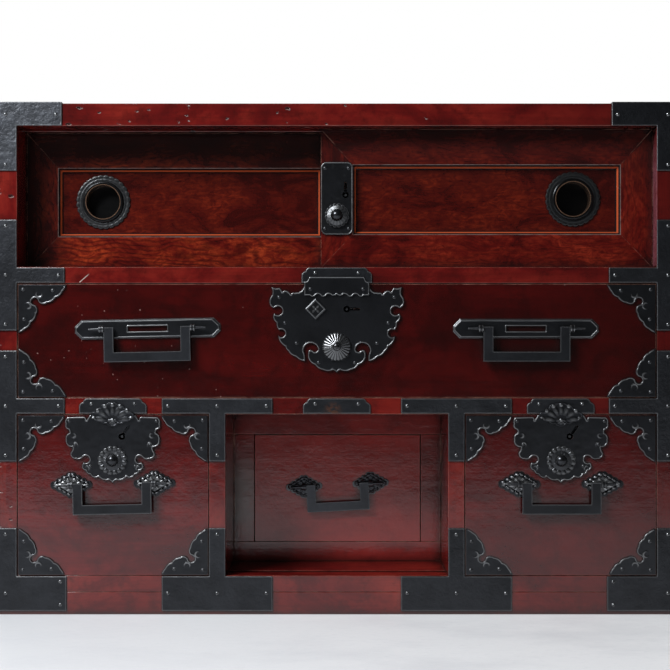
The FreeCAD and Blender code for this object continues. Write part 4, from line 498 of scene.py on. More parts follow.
def figured_wood(name, red, flame_colour, lines, shadow, opening=None):
    """Clear lacquer over figured zelkova: fine dark rings over clouds of bright wood.

    The dark rings show by the share of lines. The wood is painted darker towards the top and the left, by the
    shadow's share, as painted shade under the top board and beside the side board; dirt and painted shade
    also darken its corners. A frame's opening, as (x, z, half x, half z), turns the grain at its mitres and
    has a black fillet around it.
    """
    finish = Finish(name)
    look = bpy.context.scene.tansu_finish
    place = finish.place
    if opening:
        x, z, half_x, half_z = opening
        side = finish.math("SUBTRACT", finish.off(finish.axes[0], x), half_x)
        end = finish.math("SUBTRACT", finish.off(finish.axes[2], z), half_z)
        upright = finish.math("GREATER_THAN", side, end)
        turned_place = finish.add("ShaderNodeCombineXYZ", finish.axes[2], finish.axes[1], finish.axes[0])
        choice = finish.add("ShaderNodeMix", data_type="VECTOR")
        for index, value in ((0, upright), (4, finish.place), (5, turned_place.outputs[0])):
            finish.put(choice.inputs[index], value)
        place = choice.outputs[1]
    across = finish.add("ShaderNodeSeparateXYZ", place).outputs["Z"]
    drift = finish.noise(along("X", 6.0, 16.0), 3.0, 0.5, 0.4, place)
    rings = finish.math("ADD", finish.times(across, 900.0), finish.times(drift, 110.0))
    rings = finish.span(finish.math("SINE", rings), -0.1, 1.0)
    fine = finish.noise(along("X", 34.0, 330.0), 3.0, 0.65, 0.5, place)
    flame = finish.noise(along("X", 16.0, 24.0), 5.0, 0.66, 1.0, place)
    shimmer = finish.noise(along("X", 90.0, 170.0), 4.0, 0.65, 1.6, place)
    pore = finish.noise(along("X", 60.0, 1000.0), 3.0, 0.6, 0.0, place)
    bright = finish.times(
        finish.span(flame, 0.41, 0.64),
        finish.span(shimmer, 0.38, 0.60, 0.12, 1.0),
        finish.span(fine, 0.35, 0.62, 0.5, 1.0),
    )
    tone = finish.mix(bright, red, flame_colour)
    tone = finish.mix(finish.times(rings, lines), tone, look.door_dark)
    tone = finish.mix(finish.span(pore, 0.54, 0.68, 0.0, 0.45), tone, look.door_dark)
    tone = finish.mix(finish.span(flame, 0.47, 0.33, 0.0, 0.75), tone, look.door_dark)
    # Painted shade: darker towards the top, under the top board, and towards the left, beside the side board
    high = finish.span(finish.axes[2], 0.438, 0.502)
    left = finish.span(finish.axes[0], -0.285, -0.335)
    tone = finish.mix(finish.times(finish.math("MAXIMUM", high, left), shadow), tone, look.shade_and_grime)
    # Painted shade with dirt, in the corners of the frame and beside the pull and lock
    tone = finish.mix(finish.times(finish.shade_and_grime(14 * MM), 0.8), tone, look.shade_and_grime)
    rub = finish.noise((90.0,) * 3, 3.0, 0.7)
    worn = finish.times(finish.edges(0.8 * MM), finish.span(rub, 0.40, 0.58))
    if opening:
        outside = finish.math("MAXIMUM", side, end)
        tone = finish.mix(finish.span(outside, -0.1 * MM, -0.4 * MM), tone, look.moulding_black)
        slope = finish.span(finish.off(outside, -2.5 * MM), 0.9 * MM, 0.6 * MM)
        tone = finish.mix(slope, tone, look.moulding)
        arris = finish.span(finish.off(outside, 0.1 * MM), 0.55 * MM, 0.3 * MM)
        tone = finish.mix(finish.times(arris, finish.span(rub, 0.3, 0.6, 0.2, 0.75)), tone, look.arris_grey)
        mitre = finish.off(side, end)
        worn = finish.times(worn, finish.span(mitre, 1.6 * MM, 2.6 * MM, 0.3, 1.0))
        worn = finish.times(worn, finish.span(outside, 1.0 * MM, 2.0 * MM))
    tone = finish.mix(finish.times(worn, 0.75), tone, look.worn_edge)
    smooth_waves = finish.noise((12.0,) * 3, 2.0)
    normal = finish.bump((smooth_waves, 0.5 * MM), (pore, 0.06 * MM), (rings, 0.03 * MM))
    finish.set(base_color=tone, roughness=finish.span(rub, 0.3, 0.75, 0.28, 0.42), normal=normal)
    finish.clear_coat(0.12, 1.5, normal)
    return finish.material


def plain_wood(name, grain, across=None, seams=()):
    """Bare softwood with growth lines, darker in the seams between boards at places on X.

    Faces that look to the front or the back may have their grain across the others'.
    """
    finish = Finish(name)
    look = bpy.context.scene.tansu_finish
    front_or_back = finish.facing_y()

    def field(fine, coarse, *details):
        value = finish.noise(along(grain, fine, coarse), *details)
        if across:
            value = finish.blend(front_or_back, value, finish.noise(along(across, fine, coarse), *details))
        return value

    lines = field(2.2, 130.0, 3.0, 0.55, 0.1)
    cloud = field(3.0, 12.0, 3.0)
    hair = field(40.0, 1400.0, 2.0)
    tone = finish.mix(finish.span(lines, 0.45, 0.62), look.bare_wood, look.bare_grain)
    tone = finish.mix(finish.span(cloud, 0.4, 0.7, 0.0, 0.45), tone, look.bare_grain)
    for seam in seams:
        tone = finish.mix(finish.span(finish.off(finish.axes[0], seam), 1.1 * MM, 0.5 * MM), tone, look.seam)
    normal = finish.bump((lines, 0.12 * MM), (hair, 0.08 * MM))
    finish.set(base_color=tone, roughness=finish.span(hair, 0.3, 0.7, 0.55, 0.75), normal=normal)
    return finish.material


def forged_iron(
    name, hammered=1.0, gloss=0.42, rub=0.6, fine=False, rust_at=None, copper_at=None, grey_at=None, tint=1.0
):
    """Blackened iron with hammer marks and pale rubbed edges, or ridges on a fine mesh.

    Rust gathers around a place (x, z, reach), and a painted sheen, paler grey where the light grazes the
    hammered iron, around another. Copper shows on a circle (x, z, radius). The tint multiplies the iron's
    colour.
    """
    finish = Finish(name)
    look = bpy.context.scene.tansu_finish
    marks = finish.noise((230.0,) * 3, 4.0, 0.62)
    dents = finish.noise((80.0,) * 3, 2.0, 0.5)
    grit = finish.noise((900.0,) * 3, 2.0, 0.6)
    cloud = finish.noise((24.0,) * 3, 4.0, 0.65)
    relief = finish.rubbed() if fine else finish.edges(2.0 * MM, 9.0)
    rubbed = finish.times(relief, finish.span(cloud, 0.3, 0.62, 0.45, 1.0))
    light = [tint * channel for channel in look.iron]
    dark = [0.6 * channel for channel in light]
    tone = finish.mix(finish.span(cloud, 0.38, 0.66), light, dark)
    # Painted sheen: paler iron around a place, where the light grazes the hammered plates
    if grey_at:
        x, z, reach = grey_at
        sheen_patch = finish.times(finish.span(marks, 0.36, 0.6, 0.4, 1.0), finish.span(dents, 0.36, 0.6, 0.4, 1.2))
        tone = finish.mix(finish.times(finish.near(x, z, 0.35 * reach, reach), sheen_patch), tone, look.iron_grey)
    tone = finish.mix(finish.times(rubbed, rub), tone, look.iron_pale)
    roughness = finish.span(grit, 0.25, 0.75, gloss - 0.06, gloss + 0.12)
    if copper_at:
        x, z, radius = copper_at
        lip = finish.near(x, z, radius, radius + 0.3 * MM)
        cup = finish.near(x, z, radius - 0.8 * MM, radius - 0.5 * MM)
        polished = finish.near(x, z, radius + 3.2 * MM, radius + 3.6 * MM)
        lip = finish.math("SUBTRACT", lip, cup)
        tone = finish.mix(cup, tone, look.cup_black)
        tone = finish.mix(finish.times(lip, finish.span(cloud, 0.2, 0.5, 0.6, 1.0)), tone, look.copper)
        roughness = finish.math("SUBTRACT", roughness, finish.times(polished, 0.2))
    if rust_at:
        x, z, reach = rust_at
        stain = finish.times(finish.near(x, z, 0.3 * reach, reach), finish.span(marks, 0.4, 0.56))
        tone = finish.mix(finish.times(stain, 0.7), tone, look.rust)
    depth = hammered * MM
    normal = finish.bump((dents, 0.6 * depth), (marks, 0.5 * depth), (grit, 0.14 * depth))
    finish.set(base_color=tone, roughness=roughness, normal=normal)
    finish.set(metallic=0.9, specular_ior_level=0.0)
    finish.set(coat_weight=0.4, coat_roughness=0.30, coat_ior=1.5, coat_normal=normal)
    return finish.material


def pale_floor(name):
    """Smooth concrete, slightly clouded and paler to the right."""
    finish = Finish(name)
    look = bpy.context.scene.tansu_finish
    cloud = finish.noise((5.0, 9.0, 5.0), 6.0, 0.68)
    grit = finish.noise((90.0, 150.0, 90.0), 4.0, 0.68)
    tone = finish.mix(finish.span(finish.axes[0], -0.35, 0.42), look.floor, look.floor_pale)
    tone = finish.mix(finish.span(cloud, 0.46, 0.66, 0.0, 0.4), tone, look.floor_grey)
    tone = finish.mix(finish.span(grit, 0.52, 0.74, 0.0, 0.3), tone, look.floor_grey)
    finish.set(base_color=tone, roughness=finish.span(grit, 0.3, 0.7, 0.45, 0.65))
    finish.set(normal=finish.bump((grit, 0.2 * MM)))
    return finish.material


def made(name, maker, *details, **choices):
    """A material by name, made when it is first asked for."""
    return bpy.data.materials.get(name) or maker(name, *details, **choices)


def carcass_lacquer(grain, pitted=False):
    look = bpy.context.scene.tansu_finish
    name = ("pitted " if pitted else "") + "carcass lacquer, grain along " + grain
    colours = (look.carcass_red, look.carcass_bright, look.carcass_dark)
    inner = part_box("side_board_right")[0].x
    chip = ((-0.2744, 0.3541), (-0.2637, 0.3635), 0.65 * MM, look.scratch)
    # Painted highlight: a pale strip on the right side board's inner face beside the front door, drawn as a
    # scratch
    reveal = ((inner, 0.372), (inner, 0.516), 1.0 * MM, look.reveal)
    pits = look.pitting if pitted else 0.0
    return made(name, lacquered_board, grain, *colours, pits, edge_radius=1.1, scratches=(chip, reveal))


def plate_iron():
    # Place and reach of the painted sheen on the plates in the upper left corner
    corner = (-CAD_BOX[1][0], CAD_BOX[1][2], 0.16)
    return made("forged iron", forged_iron, rub=0.5, grey_at=corner, tint=1.15)


def relief_iron():
    return made("worked iron", forged_iron, hammered=0.08, gloss=0.31, rub=0.5, fine=True)


def rosette_iron():
    return made("rosette iron", forged_iron, hammered=0.05, gloss=0.26, rub=0.85, fine=True)


def boss_iron():
    return made("boss iron", forged_iron, hammered=0.05, gloss=0.20, rub=0.35, fine=True)


def lock_iron():
    return made("lock iron", forged_iron, hammered=0.08, gloss=0.36, rub=0.35)


def bright_iron():
    return made("rubbed iron", forged_iron, hammered=0.05, gloss=0.22, rub=0.9)


# Painted light: the niche's iron is painted lighter, standing in for light that the niche's shade keeps off
# the handle and rosettes
def niche_iron_painted_light():
    return made("niche iron", forged_iron, hammered=0.3, gloss=0.45, rub=0.25, tint=2.4)


def handle_iron():
    return made("handle iron", forged_iron, hammered=0.5, gloss=0.5, rub=0.3)


def paint(names, material):
    """The material in every slot of the named CAD nodes."""
    for name in names:
        for slot in NODES[name].material_slots:
            slot.material = material


def ease(names, width):
    """Slightly rounded edges on the named CAD nodes."""
    for name in names:
        weld = NODES[name].modifiers.new("joined", "WELD")
        weld.merge_threshold = 0.01 * MM
        flat = NODES[name].modifiers.new("whole faces", "DECIMATE")
        flat.decimate_type = "DISSOLVE"
        flat.angle_limit = math.radians(0.2)
        bevel = NODES[name].modifiers.new("eased edges", "BEVEL")
        bevel.width = width * MM
        bevel.segments = 2
        bevel.limit_method = "ANGLE"
        bevel.angle_limit = math.radians(40)
        bevel.harden_normals = True


# Meshes of worked iron

def outer_sides(faces):
    """Sides of the faces that no other face shares, as pairs of corners."""
    sides = set()
    for face in faces:
        for side in zip(face, face[1:] + face[:1]):
            if side[::-1] in sides:
                sides.remove(side[::-1])
            else:
                sides.add(side)
    return sides


def plate_loops(node, depth):
    """Loops of (x, z) points around a node's flat front faces at one depth, largest first."""
    mesh = NODES[node].data
    faces = []
    for face in mesh.polygons:
        if face.normal.y > -0.99 or abs(face.center.y - depth) > 0.03 * MM:
            continue
        corners = [mesh.vertices[index].co for index in face.vertices]
        faces.append([(round(corner.x, 6), round(corner.z, 6)) for corner in corners])
    following = dict(outer_sides(faces))
    loops = []
    while following:
        start, point = following.popitem()
        loop = [start]
        while point != start:
            loop.append(point)
            point = following.pop(point)
        loops.append(np.array(loop))
    loops.sort(key=lambda loop: -abs(loop_area(loop)))
    return loops


def loop_area(loop):
    x, z = loop[:, 0], loop[:, 1]
    return 0.5 * float(np.sum(x * np.roll(z, -1) - z * np.roll(x, -1)))


def spaced(loop, step):
    """The loop with points added where its sides are longer than a step."""
    points = []
    for start, end in zip(loop, np.roll(loop, -1, axis=0)):
        count = max(1, int(np.linalg.norm(end - start) / step))
        for share in range(count):
            points.append(start + (end - start) * share / count)
    return np.array(points)


def inside(points, loops):
    """Whether each point lies inside the loops, holes excluded."""
    odd = np.zeros(len(points), bool)
    for loop in loops:
        for (x_0, z_0), (x_1, z_1) in zip(loop, np.roll(loop, -1, axis=0)):
            if z_0 == z_1:
                continue
            crosses = (points[:, 1] < z_0) != (points[:, 1] < z_1)
            reach = x_0 + (points[:, 1] - z_0) * (x_1 - x_0) / (z_1 - z_0)
            odd ^= crosses & (points[:, 0] < reach)
    return odd


def edge_distance(points, loop):
    """Distance of each point from the loop."""
    nearest = np.full(len(points), np.inf)
    for start, end in zip(loop, np.roll(loop, -1, axis=0)):
        side = end - start
        share = np.clip((points - start) @ side / max(side @ side, 1e-18), 0, 1)
        gap = points - start - share[:, None] * side
        nearest = np.minimum(nearest, np.einsum("ij,ij->i", gap, gap))
    return np.sqrt(nearest)


def smooth(value, low, high):
    share = np.clip((value - low) / (high - low), 0, 1)
    return share * share * (3 - 2 * share)


def mottle(x, z, size, seed):
    """Smooth random heights from 0 to 1 with features of a size, in millimetres."""
    count = 64
    grid = np.random.default_rng(seed).random((count, count))
    u, v = x / size, z / size
    u_0, v_0 = np.floor(u).astype(int), np.floor(v).astype(int)
    u_share, v_share = smooth(u - u_0, 0, 1), smooth(v - v_0, 0, 1)

    def corner(i, j):
        return grid[(u_0 + i) % count, (v_0 + j) % count]

    low = corner(0, 0) * (1 - u_share) + corner(1, 0) * u_share
    high = corner(0, 1) * (1 - u_share) + corner(1, 1) * u_share
    return low * (1 - v_share) + high * v_share


def round_over(distance, reach, height):
    """A round dome or ridge: full height at no distance, none at its reach."""
    return height * np.sqrt(np.clip(1 - (distance / reach) ** 2, 0, 1))


def rolled_edge(distance, width, height, field):
    """Narrow rounded border around a lower field."""
    return np.maximum(field * smooth(distance, 0, 0.3), round_over(distance - width / 2, width / 2, height))


def crescent(x, z, place, radius, facing):
    """Curl: a round ridge that is widest on the side it faces."""
    away = np.hypot(x - place[0], z - place[1]) - radius
    lean = 0.5 + 0.5 * np.cos(np.arctan2(z - place[1], x - place[0]) - facing)
    return round_over(away, 0.25 + 0.85 * lean, 0.65 * lean ** 0.5)


def petal(x, z, middle, angle, half_long, half_wide, height):
    """A rounded petal whose long axis points along an angle."""
    u, v = x - middle[0], z - middle[1]
    lengthwise = u * math.cos(angle) + v * math.sin(angle)
    across = v * math.cos(angle) - u * math.sin(angle)
    return round_over(np.hypot(lengthwise / half_long, across / half_wide), 1.0, height)


def beyond(place, distance, angle):
    """The point at a distance from a place, along an angle."""
    return place[0] + distance * math.cos(angle), place[1] + distance * math.sin(angle)


def iron_object(name, points, faces, body, material=None, rubbed=None):
    """Smooth mesh that rides on a body, with the rubbed share of each point on it."""
    mesh = bpy.data.meshes.new(name)
    mesh.from_pydata([tuple(map(float, point)) for point in points], [], faces)
    if rubbed is not None:
        mesh.attributes.new("rubbed", "FLOAT", "POINT").data.foreach_set("value", rubbed.ravel())
    mesh.validate()
    mesh.polygons.foreach_set("use_smooth", [True] * len(mesh.polygons))
    mesh.set_sharp_from_angle(angle=math.radians(55))
    mesh.materials.append(material or relief_iron())
    piece = bpy.data.objects.new(name, mesh)
    bpy.context.scene.collection.objects.link(piece)
    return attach(piece, body)


def beside(line, gaps, inward=1):
    """Points that follow a loop at each of the gaps from it, on its inner or outer side."""
    ahead = np.roll(line, -1, axis=0) - np.roll(line, 1, axis=0)
    side = np.column_stack((-ahead[:, 1], ahead[:, 0])) / np.linalg.norm(ahead, axis=1)[:, None]
    side *= inward * np.sign(loop_area(line))
    rows = []
    for gap in gaps:
        row = line + side * gap
        rows.append(row[edge_distance(row, line) > 0.97 * gap])
    return np.concatenate(rows)


def net_rows(low, high, step):
    """Rows of points between two corners, each row moved by half a step from the last."""
    rows = []
    for index, z in enumerate(np.arange(low[1] + step / 2, high[1], step * math.sqrt(3) / 2)):
        x = np.arange(low[0] + step * (0.5 if index % 2 else 0.0), high[0], step)
        rows.append(np.column_stack((x, np.full(len(x), z))))
    return np.concatenate(rows)


def net(lines, step, rim):
    """Points and triangles between an outline and its holes.

    Rows of points follow the outline and the largest hole as far as the rim goes.
    """
    gaps = rim / 2 * (1 - np.cos(np.arange(1, RIM_ROWS + 1) * math.pi / RIM_ROWS))
    trim = np.concatenate([beside(lines[0], gaps)] + [beside(line, gaps, -1) for line in lines[1:2]])
    trim = trim[inside(trim, lines)]
    field = net_rows(lines[0].min(0), lines[0].max(0), step)
    field = field[inside(field, lines)]
    for index, line in enumerate(lines):
        field = field[edge_distance(field, line) > 0.5 * step + (rim if index < 2 else 0)]
    sides = []
    start = 0
    for line in lines:
        count = len(line)
        sides += [(start + i, start + (i + 1) % count) for i in range(count)]
        start += count
    points = np.concatenate(lines + [trim, field])
    result = delaunay_2d_cdt([Vector(point) for point in points * TO_MM], sides, [], 0, NEARNESS)
    points = np.array([tuple(point) for point in result[0]]) * MM
    triangles = np.array(result[2])
    triangles = triangles[inside(points[triangles].mean(1), lines)]
    corners = points[triangles]
    first, second = corners[:, 1] - corners[:, 0], corners[:, 2] - corners[:, 0]
    turn = first[:, 0] * second[:, 1] - first[:, 1] * second[:, 0]
    triangles[turn < 0] = triangles[turn < 0][:, ::-1]
    return points, [tuple(triangle) for triangle in triangles.tolist()]


def relief(name, body, loops, plane, height, rim, iron=None):
    """Closed solid on a flat plate: flat behind and worked in front.

    The height takes x, z, the distance from the outline and the one from the largest
    hole, and gives millimetres.
    """
    step = bpy.context.scene.tansu_ironwork.mesh_step * MM
    lines = [spaced(loop, step) for loop in loops]
    flat, faces = net(lines, step, rim * MM)
    x, z = flat[:, 0], flat[:, 1]
    hole = edge_distance(flat, lines[1]) * TO_MM if len(lines) > 1 else NO_HOLE
    rise = SKIN + height(x * TO_MM, z * TO_MM, edge_distance(flat, lines[0]) * TO_MM, hole)
    count = len(flat)
    front = np.column_stack((x, plane - rise * MM, z))
    back = np.column_stack((x, np.full(count, plane), z))
    border = sorted(outer_sides(faces))
    faces += [(c + count, b + count, a + count) for a, b, c in faces]
    faces += [(b, a, a + count, b + count) for a, b in border]
    rubbed = smooth(rise, 0.45 * rise.max(), 0.85 * rise.max())
    rubbed = np.concatenate((rubbed, np.zeros(count)))
    return iron_object(name, np.concatenate((front, back)), faces, body, iron, rubbed)


def turned(name, body, centre, plane, well, reach, height, sectors, rings, material=None, rub=None):
    """Closed ring around a centre: reach(angle) is its edge, height(radius, angle) its front.

    Radii and heights are millimetres, and the ring is flat behind, on the plane. Its
    metal is rubbed by the share rub(radius, angle).
    """
    angles = np.arange(sectors) * 2 * math.pi / sectors
    # The rings crowd towards the outer edge
    shares = 1 - (1 - np.arange(rings + 1) / rings) ** 1.3
    radius = well + (reach(angles)[None, :] - well) * shares[:, None]
    angle = np.broadcast_to(angles, radius.shape)
    rise = height(radius, angle)
    rise[-1] = RING_EDGE
    rubbed = rub(radius, angle) if rub else np.zeros_like(rise)
    rubbed = np.concatenate((rubbed[:1], rubbed, rubbed[-1:]))
    radius = np.concatenate((radius[:1], radius, radius[-1:]))
    angle = np.concatenate((angle[:1], angle, angle[-1:]))
    rise = np.concatenate((np.zeros_like(rise[:1]), rise, np.zeros_like(rise[:1])))
    points = np.stack(
        (
            centre[0] + radius * np.cos(angle) * MM,
            plane - rise * MM,
            centre[1] + radius * np.sin(angle) * MM,
        ),
        axis=-1,
    ).reshape(-1, 3)
    loops = len(radius)
    faces = []
    for ring in range(loops):
        after = (ring + 1) % loops
        for sector in range(sectors):
            onward = (sector + 1) % sectors
            faces.append((
                ring * sectors + sector,
                after * sectors + sector,
                after * sectors + onward,
                ring * sectors + onward,
            ))
    return iron_object(name, points, faces, body, material, rubbed)


def middle(node):
    low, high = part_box(node)
    return (low + high) / 2


def hammered(x, z, seed):
    iron = bpy.context.scene.tansu_ironwork
    return iron.hammer_depth * mottle(x, z, iron.hammer_size, seed)


def rimmed_plate(rim_width, rim_height, seed, ground=0.10):
    """Height of a plate with a rolled edge around a hammered field."""

    def height(x, z, distance, hole):
        return rolled_edge(distance, rim_width, rim_height, ground + hammered(x, z, seed))

    return height


def beading(count, angle):
    """1 at the middle of each of the beads around a ring, and 0 between them."""
    return np.abs(np.sin(count * angle / 2))


def beaded_ring(name, body, centre, plane, *, radius, button, base, beads, inner, cone, bead_height):
    """Ring of round beads with a finely rayed cone inside it, over a lock's plain ring."""

    def reach(angle):
        return radius * (1.012 + 0.092 * beading(beads, angle))

    def height(distance, angle):
        bead = round_over(distance - radius * 0.91, radius * 0.17, bead_height)
        bead = bead * beading(beads, angle) ** 0.6
        share = np.clip((distance - button) / (inner - button), 0, 1)
        rays = 0.22 * np.abs(np.sin(1.5 * beads * angle)) * smooth(distance, button, button + 1.5)
        slope = (cone * (1 - share) + rays) * smooth(inner + 0.4 - distance, 0, 0.5)
        edge = np.clip((reach(angle) - distance) / 0.9, 0, 1)
        return (base + 0.12 + np.maximum(slope, bead)) * np.sqrt(1 - (1 - edge) ** 2) + 0.05

    def rub(distance, angle):
        return 0.12 + 0.4 * smooth(distance, inner, radius * 0.9) * beading(beads, angle)

    well = button + 0.5
    return turned(name, body, centre, plane, well, reach, height, beads * 14, 26, relief_iron(), rub)


# Operators

class TANSU_OT_carcass(Operator):
    """Old red lacquer on the carcass boards, with eased and worn edges"""

    bl_idname = "tansu.carcass"
    bl_label = "Carcass boards"

    def execute(self, context):
        paint(LEVEL_BOARDS, carcass_lacquer("X"))
        paint(UPRIGHT_BOARDS, carcass_lacquer("Z"))
        paint(("top_board",), carcass_lacquer("X", True))
        paint(("side_board_left",), carcass_lacquer("Z", True))
        look = context.scene.tansu_finish
        # Painted light: the niche's drawer front and frame are painted brighter than the other lacquer,
        # standing in for light that the niche's shade keeps out
        front = (look.niche_painted_light_red, look.niche_painted_light_red, look.niche_painted_light_dark)
        paint(("niche_drawer_front",), made("niche lacquer", lacquered_board, "X", *front))
        frame = (look.niche_frame_painted_light_red, look.niche_painted_light_red, look.niche_frame_painted_light_dark)
        # Place and reach of a painted reflection, greyish, on the niche frame's left upright
        left_upright = (-0.135, 0.115, 0.062)
        lacquer = made("niche frame lacquer", lacquered_board, "X", *frame, greyed=left_upright)
        paint(("niche_frame",), lacquer)
        ease(LEVEL_BOARDS + UPRIGHT_BOARDS + ("niche_frame",), look.wood_edge)
        return {"FINISHED"}


class TANSU_OT_doors(Operator):
    """Figured zelkova under clear lacquer on the sliding doors"""

    bl_idname = "tansu.doors"
    bl_label = "Sliding doors"

    def execute(self, context):
        look = context.scene.tansu_finish
        for door in DOORS:
            low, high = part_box(door + "_panel")
            centre = (low + high) / 2
            half = (high - low) / 2
            opening = (centre.x, centre.z, half.x - PANEL_LAP, half.z - PANEL_LAP)
            # Share of painted shade towards the top and the left of each door
            red, flame, lines, painted_shade = look.door_red, look.door_flame, 0.5, 0.88
            if door == "front_door":
                red, flame, lines, painted_shade = look.front_red, look.front_flame, 0.3, 0.6
            frame = (red, flame, lines, painted_shade, opening)
            panel = (look.panel_red, look.panel_flame, 0.15, 0.3)
            paint((door + "_frame",), made(door + " frame lacquer", figured_wood, *frame))
            paint((door + "_panel",), made(door + " panel lacquer", figured_wood, *panel))
            ease((door + "_frame",), 0.6 * look.wood_edge)
        return {"FINISHED"}


class TANSU_OT_drawers(Operator):
    """Dark red lacquer on the drawer fronts"""

    bl_idname = "tansu.drawers"
    bl_label = "Drawer fronts"

    def execute(self, context):
        look = context.scene.tansu_finish
        small = (look.drawer_red, look.drawer_bright, look.drawer_dark)
        wide = (look.long_red, look.long_bright, look.long_dark)
        flecks = (-0.245, 0.25, 0.13)
        # Painted shade: the small drawers are painted darker upwards between these heights
        shaded = (0.13, 0.2)
        lacquer = made("long drawer lacquer", lacquered_board, "X", *wide, flecks=flecks)
        paint(("long_drawer_front",), lacquer)
        lacquer = made("small drawer lacquer", lacquered_board, "X", *small, edge_radius=0.5, shaded=shaded)
        paint(("left_drawer_front", "right_drawer_front"), lacquer)
        ease([name + "_front" for name in DRAWERS], look.wood_edge)
        return {"FINISHED"}


class TANSU_OT_inside(Operator):
    """Bare softwood on the drawer boxes, the runners and the back boards"""

    bl_idname = "tansu.inside"
    bl_label = "Bare wood inside"

    def execute(self, context):
        paint(INSIDE_WOOD, made("bare wood, grain along Y", plain_wood, "Y", across="X"))
        low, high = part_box("back_boards")
        seams = [low.x + (high.x - low.x) * share for share in (1 / 3, 2 / 3)]
        paint(("back_boards",), made("bare wood, grain along Z", plain_wood, "Z", seams=seams))
        ease(INSIDE_WOOD + ("back_boards",), 0.5)
        return {"FINISHED"}


class TANSU_OT_iron(Operator):
    """Blackened iron on the plates, nails, handles and locks"""

    bl_idname = "tansu.iron"
    bl_label = "Iron plates and handles"

    def execute(self, context):
        edge = context.scene.tansu_finish.iron_edge
        corners = tuple(name + "_corners" for name in DRAWERS[:3])
        paint(CARCASS_IRON + corners, plate_iron())
        ease(CARCASS_IRON, edge)
        over_niche = (-0.004, 0.217, 0.011)
        strikes = made("strike plate iron", forged_iron, hammered=0.6, rub=0.7, rust_at=over_niche)
        paint(("strike_plates",), strikes)
        ease(("strike_plates",), edge)
        paint(HANDLES, handle_iron())
        ease(HANDLES, 0.8 * edge)
        parts = [lock + part for lock in LOCKS for part in ("_plate", "_case", "_bolt")]
        parts += ["left_handle_mounts", "right_handle_mounts"]
        paint(parts, lock_iron())
        paint(("long_handle_plates",), plate_iron())
        # The niche's handle and mounts take iron painted lighter, as painted light
        paint(("niche_handle", "niche_handle_mounts"), niche_iron_painted_light())
        paint(["carcass_nails", "long_handle_posts"] + [lock + "_button" for lock in LOCKS], bright_iron())
        return {"FINISHED"}


class TANSU_OT_long_lock(Operator):
    """Rim, tab, diamond and chrysanthemum boss of the long drawer's lock plate"""

    bl_idname = "tansu.long_lock"
    bl_label = "Long drawer's lock"

    def execute(self, context):
        iron = context.scene.tansu_ironwork
        node = "long_lock_plate"
        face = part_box("long_drawer_front")[0].y
        plane = face - LOCK_PLATE
        layer = face - LOCK_LAYER
        button = middle("long_lock_button")
        plates = plate_loops(node, plane)
        height = rimmed_plate(iron.rim_width, iron.rim_height, 3)
        relief("long_lock_relief", "long_drawer", plates, plane, height, iron.rim_width)
        tab, diamond = plate_loops(node, layer)[:2]
        tab_rim = 1.2
        tab_height = rimmed_plate(tab_rim, 0.5, 5)
        relief("long_lock_tab_relief", "long_drawer", [tab], layer, tab_height, tab_rim)
        centre = diamond.mean(0) * TO_MM

        def flower(x, z, distance, hole):
            """Low rim, four petals towards the diamond's sides and a round middle."""
            rise = 0.5 * smooth(distance, 0, 0.9) - 0.2 * smooth(distance, 1.5, 2.2)
            for step in range(4):
                angle = math.pi / 4 + step * math.pi / 2
                rise = np.maximum(rise, petal(x, z, beyond(centre, 3.1, angle), angle, 2.7, 1.7, 0.5))
            return np.maximum(rise, petal(x, z, centre, 0, 1.3, 1.3, 0.7))

        relief("long_lock_flower", "long_drawer", [diamond], layer, flower, 1.8)
        self.boss(iron, (button.x, button.z), plane)
        return {"FINISHED"}

    def boss(self, iron, centre, plane):
        """Fluted cone around the push button, over the turned boss of the plate."""
        radius, well = 14.5, 3.75
        cone_radius, cone_height, cone_slope = 8.9, 5.25, 0.577
        flutes = iron.boss_flutes

        def across(angle):
            """0 in the grooves between petals, 1 along their middles."""
            share = np.mod(flutes * angle / (2 * math.pi), 1.0)
            return 1 - (2 * share - 1) ** 2

        def reach(angle):
            return radius + 0.3 + 0.7 * across(angle) ** 0.5

        def height(distance, angle):
            cone = cone_height + cone_slope * (cone_radius - distance)
            ridge = iron.flute_height * across(angle) * distance / radius * smooth(distance, well, 6.5)
            tip = np.clip((reach(angle) - distance) / 1.6, 0, 1)
            collar = round_over(distance - (well + 0.9), 0.9, 0.3)
            return (cone + ridge) * np.sqrt(1 - (1 - tip) ** 2) + collar

        def rub(distance, angle):
            return across(angle) ** 0.6 * smooth(distance, well, well + 1.5)

        petals = ("long_lock_boss_petals", "long_drawer", centre, plane, well, reach, height)
        turned(*petals, flutes * 16, 30, boss_iron(), rub)


